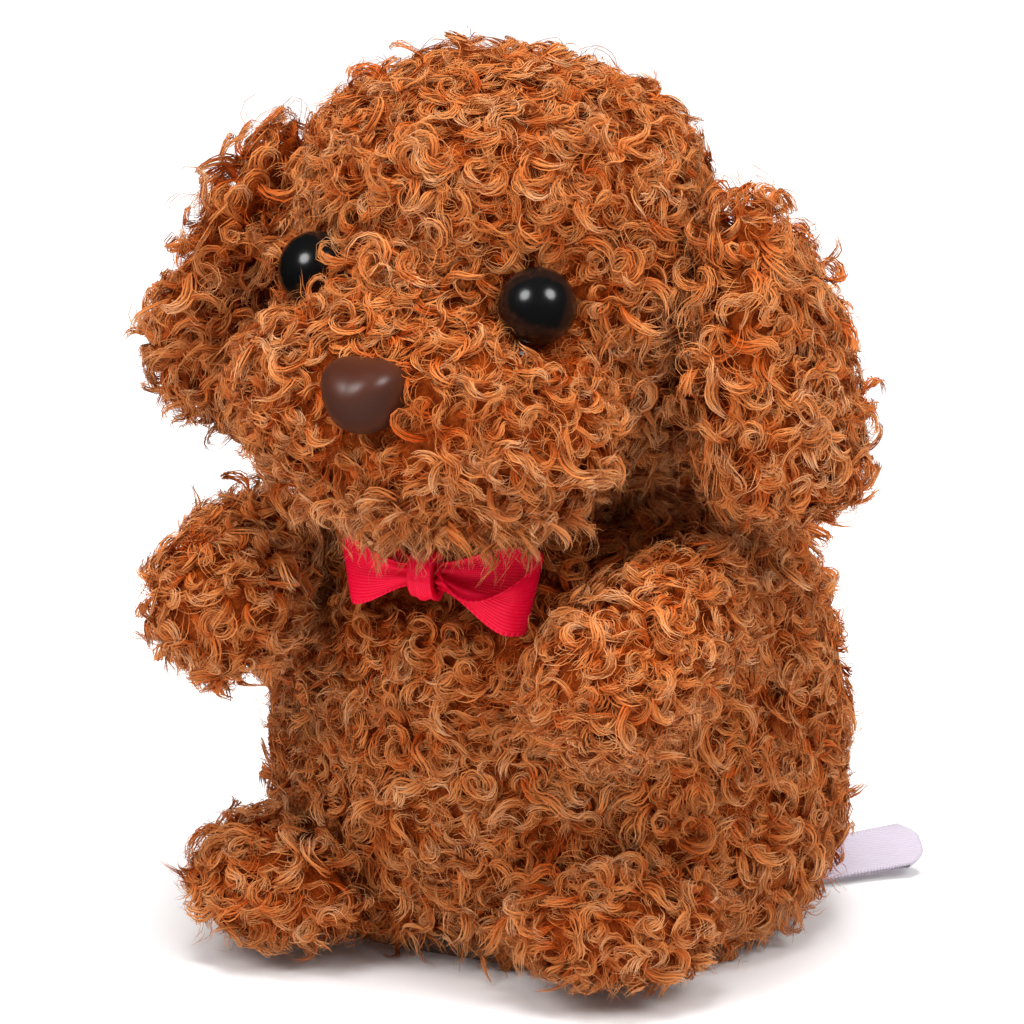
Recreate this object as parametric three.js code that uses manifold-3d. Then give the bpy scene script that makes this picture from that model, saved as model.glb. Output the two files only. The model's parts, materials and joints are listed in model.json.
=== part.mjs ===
// Interactive plush poodle: a curly plush skin over a plastic core that holds the batteries, the sound
// circuit and a small motor drive that makes the head nod.
//
// Millimetres, +Z up. The toy faces -Y and its own left side is +X. Its origin lies on the ground under
// the middle of its overall width and depth. Every place below is given from the upright axis of the
// body, and the finished toy is moved back by BODY_AXIS_Y to its origin.
//
// From outside to inside the toy is: body, feet, arms, tail, head and ears of plush; eyes, nose and bow;
// a base tray with three AAA cells under a screwed door; a two-part housing with speaker, microphone and
// circuit board; and a chassis that carries motor, belt, gears, crank and the head's pivot.

import * as THREE from 'three';
import { mergeVertices } from 'three/addons/utils/BufferGeometryUtils.js';
import Module from 'manifold-3d';

const wasm = await Module();
wasm.setup();

// ---------------------------------------------------------------------------------------------------
// Driving dimensions
// ---------------------------------------------------------------------------------------------------

const BODY_AXIS_Y = 8.4;      // the body's axis lies this far behind the origin
const GAP = 0.3;              // clearance between pieces that touch
const FREE = 0.6;             // clearance around soft pieces
const SWEEP_CLEARANCE = 1.6;  // clearance around the space that an arm sweeps

const BODY = {
  halfWidth: 51.5,
  halfDepth: 47.5,
  bottom: 1,
  top: 80,
  skin: 9,                    // plush with its pile, backing and padding
  neckRadius: 21,
};

const BELLY = { top: 26, drawIn: 0.13 };    // the body's front draws in below this height, by this share

const HEAD = {
  skin: 5.5,
  bottom: 83.5,
  neckRadius: 18,
  tilt: 3,                    // the plush head leans a little to its left, about a point at leanHeight
  leanHeight: 100,
  cranium: { centre: [0, -18, 117], radii: [41, 37, 40] },
  crown: { centre: [0, -20, 137], radii: [37, 34, 22] },
  muzzle: { centre: [0, -48, 103], radii: [37, 25, 22.5] },
};

const EAR = { x: 53.5, y: -19, z: 113.2, radii: [12, 20, 29], flare: 5.5, bend: 6.5, taper: 0.3 };
const ARM = {
  shoulder: [41.5, -31, 69],
  pawX: 36.5,
  pawY: -51,
  pawZ: { left: 60, right: 64.5 },          // the left paw is held a little lower
  shoulderRadius: 12.5,
  pawRadius: 14.5,
};
const ARM_SWING = [-12, 0, 15];             // lowest, rest and highest angle, degrees
const FOOT = {
  x: 30,
  y: { left: -36.5, right: -40 },           // the right foot sits a little further forward
  z: { left: 14.6, right: 13.3 },
  radii: [20, 19.5, 12.6],
  splay: 22,
  sole: 1.6,
};
const TAIL = { centre: [0, 50, 27], radius: 9.5 };

const EYE = { x: 21, y: -49, z: 123, radius: 6.3, yaw: 29, pitch: 9, sink: 1.6 };
const NOSE = { y: -71.4, z: 108.6, halfWidth: 7.9, halfHeight: 6.3, proud: 4.8 };
const SHANK = { radius: 1.8, length: 12, washerRadius: 5.5, washerThickness: 1 };

const BOW = {
  y: -46.4,
  z: 73,
  halfSpan: 17.5,
  halfDepth: 3.6,
  loopHalfHeight: 6.9,
  waistHalfHeight: 2.4,
  sweep: 4.5,                 // both loops reach back this far round the chest
  knotRadius: 4,
  knotWidth: 4.8,
};
const LABEL = { length: 21, height: 9, thickness: 0.8, bearing: 45, tilt: 42, z: 4.4 };

const CORE = { halfWidth: 34, halfDepth: 31, corner: 20, wall: 2 };
const TRAY = { top: 17, floor: 2 };
const BAY = { halfLength: 26.3, halfWidth: 17, y: -2, roof: 14.6 };
const DOOR = { halfLength: 28.4, y0: -20.8, y1: 20.8, bottom: 0.4, top: 2.4, screwY: 17.9 };
const CELL = { radius: 5.25, length: 44.5, pitch: 11, z: 8.3, count: 3 };
const SWITCH = { y: 26, travel: 3, knobLength: 4 };

const HOUSING = { bottom: 17.3, top: 70, screwX: 26.5, screwZ: [23.6, 63.6] };
const SPEAKER = { z: 45.5, radius: 14.5, front: -28.6, depth: 8.4 };
const BOARD = { halfWidth: 18, y: 25.8, thickness: 1.6, z0: 24, z1: 66 };

// Nod drive. Every axle lies along X; places are [y, z].
const PIVOT = [2, 82.5];
const LEVER_LENGTH = 30;                    // head pivot to crank axle
const CRANK_RADIUS = 4.8;
const CRANK_PER_NOD = 7.5;                  // crank degrees for one degree of nod
const NOD_AT_REST = -3;                     // the head rests this far below its middle position
const MODULE = 0.6;
const WHEEL_TEETH = 36;
const PINION_TEETH = 10;
const MESH = MODULE * (WHEEL_TEETH + PINION_TEETH) / 2;
const CRANK = [PIVOT[0], PIVOT[1] - LEVER_LENGTH];
const IDLER_BEARING = -35;                  // direction of the idler seen from the crank
const PULLEY_BEARING = 84;                  // direction of the pulley gear seen from the idler
const IDLER = polar(CRANK, MESH, IDLER_BEARING);
const PULLEY = polar(IDLER, MESH, PULLEY_BEARING);
const MOTOR = [-3, 35.8];
const MOTOR_CAN = { radius: 8, x0: -31, x1: -16.6 };
const BELT = { seatSmall: 1.8, seatLarge: 7.3, thickness: 0.8, x0: -14.6, x1: -12.6 };
const AXLE_RADIUS = 1;
const BORE = AXLE_RADIUS + GAP;

// Layers of the drive along X.
const LAYER = {
  pulley: [-15.6, -11.6],
  leftPlate: [-11, -9.5],
  idlerWheel: [-8.2, -5.7],
  crankGear: [-4.6, -2.1],
  lever: [-1.25, 1.25],
  rightPlate: [3.5, 5],
};

// ---------------------------------------------------------------------------------------------------
// Materials
// ---------------------------------------------------------------------------------------------------

function finish(color, roughness, metalness = 0) {
  return new THREE.MeshStandardMaterial({ color, roughness, metalness });
}

const MATERIAL = {
  plush: finish(0x9f572a, 1),
  stuffing: finish(0xf2f0ea, 1),
  satin: finish(0xc80d24, 0.4),
  label: finish(0xf3ecf4, 0.5),
  eye: finish(0x070707, 0.06),
  nose: finish(0x5a342a, 0.35),
  casing: finish(0x6b5a50, 0.55),
  whitePlastic: finish(0xe9e6de, 0.5),
  gear: finish(0xf4f1e6, 0.45),
  steel: finish(0xb9bcc0, 0.3, 1),
  brass: finish(0xc9a24a, 0.3, 1),
  rubber: finish(0x151515, 0.8),
  board: finish(0x2d6b3c, 0.5),
  black: finish(0x1c1c1e, 0.6),
  cell: finish(0x2f4f7a, 0.35),
  paper: finish(0x2a2724, 0.9),
};

// ---------------------------------------------------------------------------------------------------
// Small tools: closed geometry, booleans and placing
// ---------------------------------------------------------------------------------------------------

function radians(degrees) {
  return degrees * Math.PI / 180;
}

function polar([y, z], distance, bearing) {
  const angle = bearing * Math.PI / 180;
  return [y + distance * Math.cos(angle), z + distance * Math.sin(angle)];
}

// Welds a geometry by position and leaves out the triangles that collapse at a pole.
function welded(geometry) {
  geometry.deleteAttribute('normal');
  geometry.deleteAttribute('uv');
  const merged = mergeVertices(geometry, 1e-4);
  const kept = [];
  for (let i = 0; i < merged.index.count; i += 3) {
    const corners = [0, 1, 2].map((k) => merged.index.getX(i + k));
    if (new Set(corners).size === 3) {
      kept.push(...corners);
    }
  }
  merged.setIndex(kept);
  return merged;
}

function solid(geometry) {
  const closed = welded(geometry);
  return new wasm.Manifold(new wasm.Mesh({
    numProp: 3,
    vertProperties: new Float32Array(closed.attributes.position.array),
    triVerts: new Uint32Array(closed.index.array),
  }));
}

function geometryOf(manifold) {
  const mesh = manifold.getMesh();
  const geometry = new THREE.BufferGeometry();
  geometry.setAttribute('position', new THREE.BufferAttribute(mesh.vertProperties, 3));
  geometry.setIndex(new THREE.BufferAttribute(mesh.triVerts, 1));
  geometry.computeVertexNormals();
  return geometry;
}

function joined(...pieces) {
  return pieces.reduce((whole, piece) => whole.add(piece));
}

function cut(piece, ...tools) {
  return tools.reduce((rest, tool) => rest.subtract(tool), piece);
}

function part(name, shape, material) {
  const geometry = shape instanceof THREE.BufferGeometry ? shape : geometryOf(shape);
  const mesh = new THREE.Mesh(geometry, material);
  mesh.name = name;
  return mesh;
}

function block([x0, x1], [y0, y1], [z0, z1]) {
  const geometry = new THREE.BoxGeometry(x1 - x0, y1 - y0, z1 - z0);
  geometry.translate((x0 + x1) / 2, (y0 + y1) / 2, (z0 + z1) / 2);
  return solid(geometry);
}

function rodX(radius, [x0, x1], [y, z], sides = 16) {
  const geometry = new THREE.CylinderGeometry(radius, radius, x1 - x0, sides);
  geometry.rotateZ(Math.PI / 2);
  geometry.translate((x0 + x1) / 2, y, z);
  return solid(geometry);
}

function rodY(radius, [y0, y1], [x, z], sides = 16) {
  const geometry = new THREE.CylinderGeometry(radius, radius, y1 - y0, sides);
  geometry.translate(x, (y0 + y1) / 2, z);
  return solid(geometry);
}

function rodZ(radius, [z0, z1], [x, y], sides = 16) {
  const geometry = new THREE.CylinderGeometry(radius, radius, z1 - z0, sides);
  geometry.rotateX(Math.PI / 2);
  geometry.translate(x, y, (z0 + z1) / 2);
  return solid(geometry);
}

function ellipsoid([x, y, z], [rx, ry, rz], around = 18, down = 11) {
  const geometry = new THREE.SphereGeometry(1, around, down);
  geometry.rotateX(Math.PI / 2);
  geometry.scale(rx, ry, rz);
  geometry.translate(x, y, z);
  return solid(geometry);
}

// A profile of [radius, height] points turned about Z.
function turned(points, segments) {
  const profile = points.map(([r, h]) => new THREE.Vector2(r, h));
  const geometry = new THREE.LatheGeometry(profile, segments);
  geometry.rotateX(Math.PI / 2);
  return geometry;
}

// An outline in the YZ plane made thick along X.
function plateX(shape, [x0, x1], curveSegments = 8) {
  const geometry = new THREE.ExtrudeGeometry(shape, { depth: x1 - x0, bevelEnabled: false, curveSegments });
  const basis = new THREE.Matrix4().makeBasis(
    new THREE.Vector3(0, 1, 0), new THREE.Vector3(0, 0, 1), new THREE.Vector3(1, 0, 0));
  geometry.applyMatrix4(basis);
  geometry.translate(x0, 0, 0);
  return solid(geometry);
}

// An outline in the XY plane made thick along Z.
function plateZ(shape, [z0, z1], curveSegments = 5) {
  const geometry = new THREE.ExtrudeGeometry(shape, { depth: z1 - z0, bevelEnabled: false, curveSegments });
  geometry.translate(0, 0, z0);
  return solid(geometry);
}

// The plan outline of the plastic core, drawn in by `inset`.
function corePlan(inset) {
  const w = CORE.halfWidth - inset;
  const d = CORE.halfDepth - inset;
  const r = CORE.corner - inset;
  const shape = new THREE.Shape();
  shape.absarc(w - r, d - r, r, 0, Math.PI / 2);
  shape.absarc(r - w, d - r, r, Math.PI / 2, Math.PI);
  shape.absarc(r - w, r - d, r, Math.PI, 1.5 * Math.PI);
  shape.absarc(w - r, r - d, r, 1.5 * Math.PI, 2 * Math.PI);
  return shape;
}

// ---------------------------------------------------------------------------------------------------
// Plush body, feet, arms, tail and label
// ---------------------------------------------------------------------------------------------------

// Draws the lower front of the body in, so that the feet stand clear of the belly.
function drawIn(geometry) {
  const position = geometry.getAttribute('position');
  for (let i = 0; i < position.count; i += 1) {
    const y = position.getY(i);
    const low = Math.min(1, Math.max(0, 1 - position.getZ(i) / BELLY.top));
    if (y < 0) {
      position.setY(i, y * (1 - BELLY.drawIn * low ** 1.5));
    }
  }
}

// The barrel of the body, grown by `grow` all round.
function barrel(grow, bottom, segments = 24) {
  const flank = new THREE.SplineCurve([
    new THREE.Vector2(0.87, bottom),
    new THREE.Vector2(0.96, 9),
    new THREE.Vector2(1, 24),
    new THREE.Vector2(0.99, 46),
    new THREE.Vector2(0.95, 62),
    new THREE.Vector2(0.83, 74),
    new THREE.Vector2(0.52, BODY.top - 0.4 + grow),
  ]).getPoints(9);
  const points = [[0, bottom], ...flank.map((p) => [p.x, p.y]), [0, BODY.top + grow]];
  const geometry = turned(points, segments);
  geometry.scale(BODY.halfWidth + grow, BODY.halfDepth + grow, 1);
  drawIn(geometry);
  return solid(geometry);
}

// The room for the core: it fits the base tray closely and is wider above it.
function bodyCavity() {
  const w = BODY.halfWidth - BODY.skin;
  const d = BODY.halfDepth - BODY.skin;
  const roof = HOUSING.top + FREE;
  const geometry = turned([[0, TRAY.top], [1, TRAY.top], [1, 60], [0.95, roof], [0, roof]], 22);
  geometry.scale(w, d, 1);
  return joined(solid(geometry), plateZ(corePlan(-GAP), [-1, TRAY.top + 1]));
}

// One arm as a solid of revolution from shoulder to paw, its round shoulder centred on the joint.
function armSolid(side, grow = 0, segments = 16) {
  const shoulder = new THREE.Vector3(...ARM.shoulder);
  const paw = new THREE.Vector3(ARM.pawX, ARM.pawY, side > 0 ? ARM.pawZ.left : ARM.pawZ.right);
  const reach = paw.distanceTo(shoulder);
  const rs = ARM.shoulderRadius + grow;
  const rp = ARM.pawRadius + grow;
  const points = [];
  for (let i = 0; i <= 4; i += 1) {
    const angle = radians(-90 + 90 * i / 4);
    points.push([rs * Math.cos(angle), rs * Math.sin(angle)]);
  }
  for (let i = 0; i <= 4; i += 1) {
    const angle = radians(90 * i / 4);
    points.push([rp * Math.cos(angle), reach + rp * Math.sin(angle)]);
  }
  points[0][0] = 0;
  points[points.length - 1][0] = 0;
  const geometry = turned(points, segments);
  const along = paw.sub(shoulder).normalize();
  along.x *= side;
  geometry.applyQuaternion(new THREE.Quaternion().setFromUnitVectors(new THREE.Vector3(0, 0, 1), along));
  return geometry;
}

function shoulderOf(side) {
  return new THREE.Vector3(side * ARM.shoulder[0], ARM.shoulder[1], ARM.shoulder[2]);
}

// The space that one arm sweeps as it flops on its seam.
function armSweep(side) {
  const place = shoulderOf(side);
  const swept = ARM_SWING.map((angle) => {
    const geometry = armSolid(side, SWEEP_CLEARANCE, 10);
    geometry.rotateX(radians(-angle));
    geometry.translate(place.x, place.y, place.z);
    return solid(geometry);
  });
  return joined(...swept);
}

function bodyPlush() {
  const neck = rodZ(BODY.neckRadius, [60, 90], [0, 0], 20);
  const shell = cut(barrel(0, BODY.bottom), bodyCavity(), neck);
  return cut(shell, armSweep(1), armSweep(-1), bowSeat());
}

function footSolid(name, side) {
  const geometry = new THREE.SphereGeometry(1, 18, 11);
  geometry.rotateX(Math.PI / 2);
  geometry.scale(...FOOT.radii);
  geometry.rotateZ(radians(side * FOOT.splay));
  geometry.translate(side * FOOT.x, FOOT.y[name], FOOT.z[name]);
  const below = block([-90, 90], [-90, 90], [-20, FOOT.sole]);
  return cut(solid(geometry), below, barrel(FREE, -5));
}

function tailSolid() {
  return cut(ellipsoid(TAIL.centre, [TAIL.radius, TAIL.radius, TAIL.radius], 14, 9), barrel(FREE, -5));
}

// A folded strip of satin tape that leaves the body's left rear seam, rounded at its free end.
function careLabel() {
  const h = LABEL.height / 2;
  const straight = LABEL.length - h;
  const shape = new THREE.Shape();
  shape.moveTo(0, -h);
  shape.lineTo(straight, -h);
  shape.absarc(straight, 0, h, -Math.PI / 2, Math.PI / 2);
  shape.lineTo(0, h);
  const geometry = new THREE.ExtrudeGeometry(shape, {
    depth: LABEL.thickness, bevelEnabled: false, curveSegments: 8 });
  geometry.translate(0, 0, -LABEL.thickness / 2);
  geometry.rotateX(radians(90 - LABEL.tilt));
  return solid(geometry);
}

function plushGroup() {
  const group = new THREE.Group();
  group.add(part('body_plush', bodyPlush(), MATERIAL.plush));
  for (const [name, side] of [['left', 1], ['right', -1]]) {
    const arm = part(`arm_${name}`, solid(armSolid(side)), MATERIAL.plush);
    arm.position.copy(shoulderOf(side));
    group.add(arm);
    group.add(part(`foot_${name}`, footSolid(name, side), MATERIAL.plush));
  }
  group.add(part('tail', tailSolid(), MATERIAL.plush));

  const label = part('care_label', careLabel(), MATERIAL.label);
  const bearing = radians(LABEL.bearing);
  const clear = FREE + 0.4;
  label.position.set(
    (BODY.halfWidth + clear) * Math.cos(bearing), (BODY.halfDepth + clear) * Math.sin(bearing), LABEL.z);
  label.rotation.z = bearing;
  group.add(label);
  return group;
}

// ---------------------------------------------------------------------------------------------------
// Bow: one ribbon folded into two loops, and the band that gathers its middle
// ---------------------------------------------------------------------------------------------------

function bowRibbon() {
  const { halfSpan: s, loopHalfHeight: h, waistHalfHeight: w } = BOW;
  const front = new THREE.Shape();
  front.moveTo(-s, -h);
  front.lineTo(-3, -w);
  front.lineTo(3, -w);
  front.lineTo(s, -h);
  front.quadraticCurveTo(s + 0.8, 0, s, h);
  front.lineTo(3, w);
  front.lineTo(-3, w);
  front.lineTo(-s, h);
  front.quadraticCurveTo(-s - 0.8, 0, -s, -h);
  const geometry = new THREE.ExtrudeGeometry(front, { depth: 8, bevelEnabled: false, curveSegments: 5 });
  geometry.translate(0, 0, -4);
  geometry.rotateX(Math.PI / 2);

  // Seen from above each loop is a drop: thin at the waist and thickest near its rounded end.
  const above = new THREE.Shape();
  above.moveTo(-s - 1, 0);
  above.quadraticCurveTo(-s - 1, BOW.halfDepth, -s + 6, BOW.halfDepth - 0.4);
  above.quadraticCurveTo(-6, 2.2, -2.6, 0.9);
  above.lineTo(2.6, 0.9);
  above.quadraticCurveTo(6, 2.2, s - 6, BOW.halfDepth - 0.4);
  above.quadraticCurveTo(s + 1, BOW.halfDepth, s + 1, 0);
  above.quadraticCurveTo(s + 1, -BOW.halfDepth, s - 6, 0.4 - BOW.halfDepth);
  above.quadraticCurveTo(6, -2.2, 2.6, -0.9);
  above.lineTo(-2.6, -0.9);
  above.quadraticCurveTo(-6, -2.2, -s + 6, 0.4 - BOW.halfDepth);
  above.quadraticCurveTo(-s - 1, -BOW.halfDepth, -s - 1, 0);
  const straight = solid(geometry).intersect(plateZ(above, [-h - 1, h + 1], 5));
  return straight.warp((place) => {
    place[1] += BOW.sweep * Math.max(0, Math.abs(place[0]) - 3) / (s - 3);
  });
}

function bowKnot() {
  const inside = BOW.waistHalfHeight + GAP;
  const band = new THREE.CylinderGeometry(BOW.knotRadius, BOW.knotRadius, BOW.knotWidth, 18);
  band.rotateZ(Math.PI / 2);
  band.scale(1, 0.72, 1);
  return cut(solid(band), block([-3, 3], [-1.3, 1.3], [-inside, inside]));
}

// The room for the bow on the chest, where it presses the pile flat.
function bowSeat() {
  const back = BOW.y + BOW.halfDepth + BOW.sweep + FREE;
  const side = BOW.halfSpan + 2;
  return block([-side, side], [-90, back], [BOW.z - BOW.loopHalfHeight - 1, 90]);
}

function bowGroup() {
  const group = new THREE.Group();
  group.position.set(0, BOW.y, BOW.z);
  group.add(part('bow_ribbon', bowRibbon(), MATERIAL.satin));
  group.add(part('bow_knot', bowKnot(), MATERIAL.satin));
  return group;
}

// ---------------------------------------------------------------------------------------------------
// Head: plush, stuffing, ears, eyes and nose
// ---------------------------------------------------------------------------------------------------

// The head's outer form drawn in by `inset`.
function headForm(inset, around = 18, down = 12) {
  const forms = [HEAD.cranium, HEAD.crown, HEAD.muzzle].map(({ centre, radii }) =>
    ellipsoid(centre, radii.map((r) => r - inset), around, down));
  return joined(...forms);
}

// The frame of one eye: it looks outwards and a little up.
function eyeFrame(side) {
  const frame = new THREE.Object3D();
  frame.position.set(side * EYE.x, EYE.y, EYE.z);
  frame.rotation.set(radians(-EYE.pitch), 0, radians(side * EYE.yaw), 'ZYX');
  frame.updateMatrix();
  return frame;
}

// A hole along a face piece's own Y axis.
function socket(frame, radius, y0, y1) {
  const geometry = new THREE.CylinderGeometry(radius, radius, y1 - y0, 12);
  geometry.translate(0, (y0 + y1) / 2, 0);
  geometry.applyMatrix4(frame.matrix);
  return solid(geometry);
}

function noseFrame() {
  const frame = new THREE.Object3D();
  frame.position.set(0, NOSE.y, NOSE.z);
  frame.updateMatrix();
  return frame;
}

// Every face piece has a seat in the pile, a hole for its shank and a pocket for its washer.
function faceSeats() {
  const seats = [1, -1].flatMap((side) => [
    socket(eyeFrame(side), EYE.radius + FREE, -20, EYE.sink + 1.4),
    socket(eyeFrame(side), SHANK.radius + GAP, -2, 18),
  ]);
  seats.push(socket(noseFrame(), NOSE.halfWidth + FREE + 0.6, -20, 1.6));
  seats.push(socket(noseFrame(), SHANK.radius + GAP, -2, 18));
  return joined(...seats);
}

function facePockets() {
  const pockets = [1, -1].map((side) => socket(eyeFrame(side), SHANK.washerRadius + 1, -4, 17));
  pockets.push(socket(noseFrame(), SHANK.washerRadius + 1, -4, 18));
  return joined(...pockets);
}

function headPlush() {
  const below = block([-90, 90], [-120, 90], [40, HEAD.bottom]);
  const neck = rodZ(HEAD.neckRadius, [70, 98], [-2, 0], 24);
  return cut(headForm(0), headForm(HEAD.skin, 12, 8), below, neck, faceSeats());
}

const SKULL_PLATE = { z0: 100, z1: 103, radius: 19, y: -14 };

function headStuffing() {
  const below = block([-90, 90], [-120, 90], [40, SKULL_PLATE.z1 + 1.6]);
  return cut(headForm(HEAD.skin + FREE, 12, 8), below, facePockets());
}

// A long drop, wider below, that leans in to the head at its top and lies against it.
function earSolid(side) {
  const geometry = new THREE.SphereGeometry(1, 16, 12);
  geometry.rotateX(Math.PI / 2);
  const position = geometry.attributes.position;
  for (let i = 0; i < position.count; i += 1) {
    const z = position.getZ(i);
    const widen = 1 - EAR.taper * z;
    const x = position.getX(i) * widen * EAR.radii[0] - side * (EAR.flare * z + EAR.bend * z * z);
    position.setXYZ(i, x, position.getY(i) * widen * EAR.radii[1], z * EAR.radii[2]);
  }
  return cut(solid(geometry), headForm(-FREE).translate(-side * EAR.x, -EAR.y, -EAR.z));
}

function eyeSolid() {
  const ball = ellipsoid([0, 0, 0], [EYE.radius, EYE.radius * 0.92, EYE.radius], 18, 11);
  const back = block([-9, 9], [EYE.sink, 9], [-9, 9]);
  const shank = rodY(SHANK.radius, [EYE.sink - 0.5, EYE.sink + SHANK.length], [0, 0], 12);
  return joined(cut(ball, back), shank);
}

// A soft triangle, wide at the top, domed to the front.
function noseSolid() {
  const { halfWidth: w, halfHeight: h } = NOSE;
  const geometry = new THREE.SphereGeometry(1, 18, 12);
  const position = geometry.attributes.position;
  for (let i = 0; i < position.count; i += 1) {
    const z = position.getZ(i);
    const taper = 1 - 0.14 * (1 - z);
    position.setXYZ(i, position.getX(i) * w * taper, position.getY(i) * NOSE.proud, z * h);
  }
  const back = block([-9, 9], [1.2, 9], [-9, 9]);
  const shank = rodY(SHANK.radius, [0.7, 3 + SHANK.length], [0, 0], 12);
  return joined(cut(solid(geometry), back), shank);
}

function washerSolid() {
  const disc = rodY(SHANK.washerRadius, [0, SHANK.washerThickness], [0, 0], 14);
  return cut(disc, rodY(SHANK.radius + GAP, [-1, 2], [0, 0], 10));
}

function facePiece(frame, name, shape, material, washerName, washerY) {
  const group = new THREE.Group();
  group.applyMatrix4(frame.matrix);
  group.add(part(name, shape, material));
  const washer = part(washerName, washerSolid(), MATERIAL.whitePlastic);
  washer.position.y = washerY;
  group.add(washer);
  return group;
}

function headGroup() {
  const group = new THREE.Group();
  group.position.z = -HEAD.leanHeight;
  group.add(part('head_plush', headPlush(), MATERIAL.plush));
  group.add(part('head_stuffing', headStuffing(), MATERIAL.stuffing));
  for (const [name, side] of [['left', 1], ['right', -1]]) {
    const ear = part(`ear_${name}`, earSolid(side), MATERIAL.plush);
    ear.position.set(side * EAR.x, EAR.y, EAR.z);
    group.add(ear);
    group.add(facePiece(
      eyeFrame(side), `eye_${name}`, eyeSolid(), MATERIAL.eye, `eye_washer_${name}`, 9.6));
  }
  group.add(facePiece(noseFrame(), 'nose', noseSolid(), MATERIAL.nose, 'nose_washer', 13));

  const leaning = new THREE.Group();
  leaning.position.z = HEAD.leanHeight;
  leaning.rotation.y = radians(HEAD.tilt);
  leaning.add(group);
  return leaning;
}

// ---------------------------------------------------------------------------------------------------
// Base: tray, battery door, cells, contacts and the power switch
// ---------------------------------------------------------------------------------------------------

function baseTray() {
  const walls = cut(
    plateZ(corePlan(0), [0, TRAY.top]),
    plateZ(corePlan(CORE.wall), [TRAY.floor, TRAY.top + 1]));
  const bayBlock = block(
    [-DOOR.halfLength - 1.4, DOOR.halfLength + 1.4], [DOOR.y0 - 1.6, DOOR.y1 + 1.4], [0, TRAY.top - 0.5]);
  const inside = plateZ(corePlan(0.5), [0, TRAY.top]);
  const doorRecess = block(
    [-DOOR.halfLength - 0.4, DOOR.halfLength + 0.4], [DOOR.y0 - 0.4, DOOR.y1 + 0.4], [-1, DOOR.top + GAP]);
  const bay = block(
    [-BAY.halfLength, BAY.halfLength], [BAY.y - BAY.halfWidth, BAY.y + BAY.halfWidth], [-1, BAY.roof]);
  const screwPocket = rodZ(2.6, [-1, 10], [0, DOOR.screwY], 12);
  const knobSlot = block([-4.4, 4.4], [SWITCH.y - 1.3, SWITCH.y + 1.3], [-1, 4]);
  const shell = joined(walls, bayBlock.intersect(inside));
  return cut(shell, doorRecess, bay, screwPocket, knobSlot);
}

function batteryDoor() {
  const plate = block([-DOOR.halfLength, DOOR.halfLength], [DOOR.y0, DOOR.y1], [DOOR.bottom, DOOR.top]);
  const counterbore = rodZ(3, [0, 1.7], [0, DOOR.screwY], 16);
  const hole = rodZ(1.6, [0, 4], [0, DOOR.screwY], 12);
  const grips = [-6, -3, 0, 3, 6].map((x) =>
    block([x - 0.7, x + 0.7], [DOOR.y0 + 4, DOOR.y0 + 12], [0, DOOR.bottom + 0.6]));
  return cut(plate, counterbore, hole, ...grips);
}

// A pan-head screw that points along +Z from the underside of its head.
function screwSolid(headRadius, headHeight, shankRadius, length) {
  const points = [
    [0, 0], [headRadius * 0.8, 0], [headRadius, headHeight * 0.4], [headRadius, headHeight],
    [shankRadius, headHeight], [shankRadius, length - shankRadius], [0, length],
  ];
  const slot = block([-headRadius - 1, headRadius + 1], [-0.35, 0.35], [-1, headHeight * 0.45]);
  return cut(solid(turned(points, 8)), slot);
}

// One AAA cell with its positive nub towards +X.
function cellSolid() {
  const r = CELL.radius;
  const half = CELL.length / 2;
  const geometry = turned(
    [[0, -half], [r - 0.6, -half], [r, -half + 0.5], [r, half - 1.5], [r - 0.7, half - 0.9],
      [1.9, half - 0.9], [1.9, half], [0, half]], 14);
  geometry.rotateY(Math.PI / 2);
  return solid(geometry);
}

// A conical contact spring that reaches from its plate to the flat end of a cell.
function contactSpring() {
  const turns = 2;
  const length = 4.7;
  const points = [];
  for (let i = 0; i <= 18; i += 1) {
    const t = i / 18;
    const angle = 2 * Math.PI * turns * t;
    const radius = 3.6 - 1.3 * t;
    points.push(new THREE.Vector3(length * t, radius * Math.cos(angle), radius * Math.sin(angle)));
  }
  const wire = new THREE.Shape();
  wire.absarc(0, 0, 0.35, 0, 2 * Math.PI);
  const geometry = new THREE.ExtrudeGeometry(wire, {
    steps: 18, curveSegments: 3, bevelEnabled: false, extrudePath: new THREE.CatmullRomCurve3(points) });
  return solid(geometry);
}

function switchBody() {
  const y = SWITCH.y;
  const can = block([-7, 7], [y - 2, y + 2], [TRAY.floor + GAP, 7]);
  return cut(can, block([-4.7, 4.7], [y - 1.4, y + 1.4], [0, 5.4]));
}

function switchKnob() {
  const left = -SWITCH.travel / 2 - SWITCH.knobLength / 2;
  const y = SWITCH.y;
  const stem = block([left, left + SWITCH.knobLength], [y - 0.9, y + 0.9], [0.5, 5]);
  const ribs = [0.8, 2, 3.2].map((x) =>
    block([left + x - 0.25, left + x + 0.25], [y - 2, y + 2], [0, 0.9]));
  return cut(stem, ...ribs);
}

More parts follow.
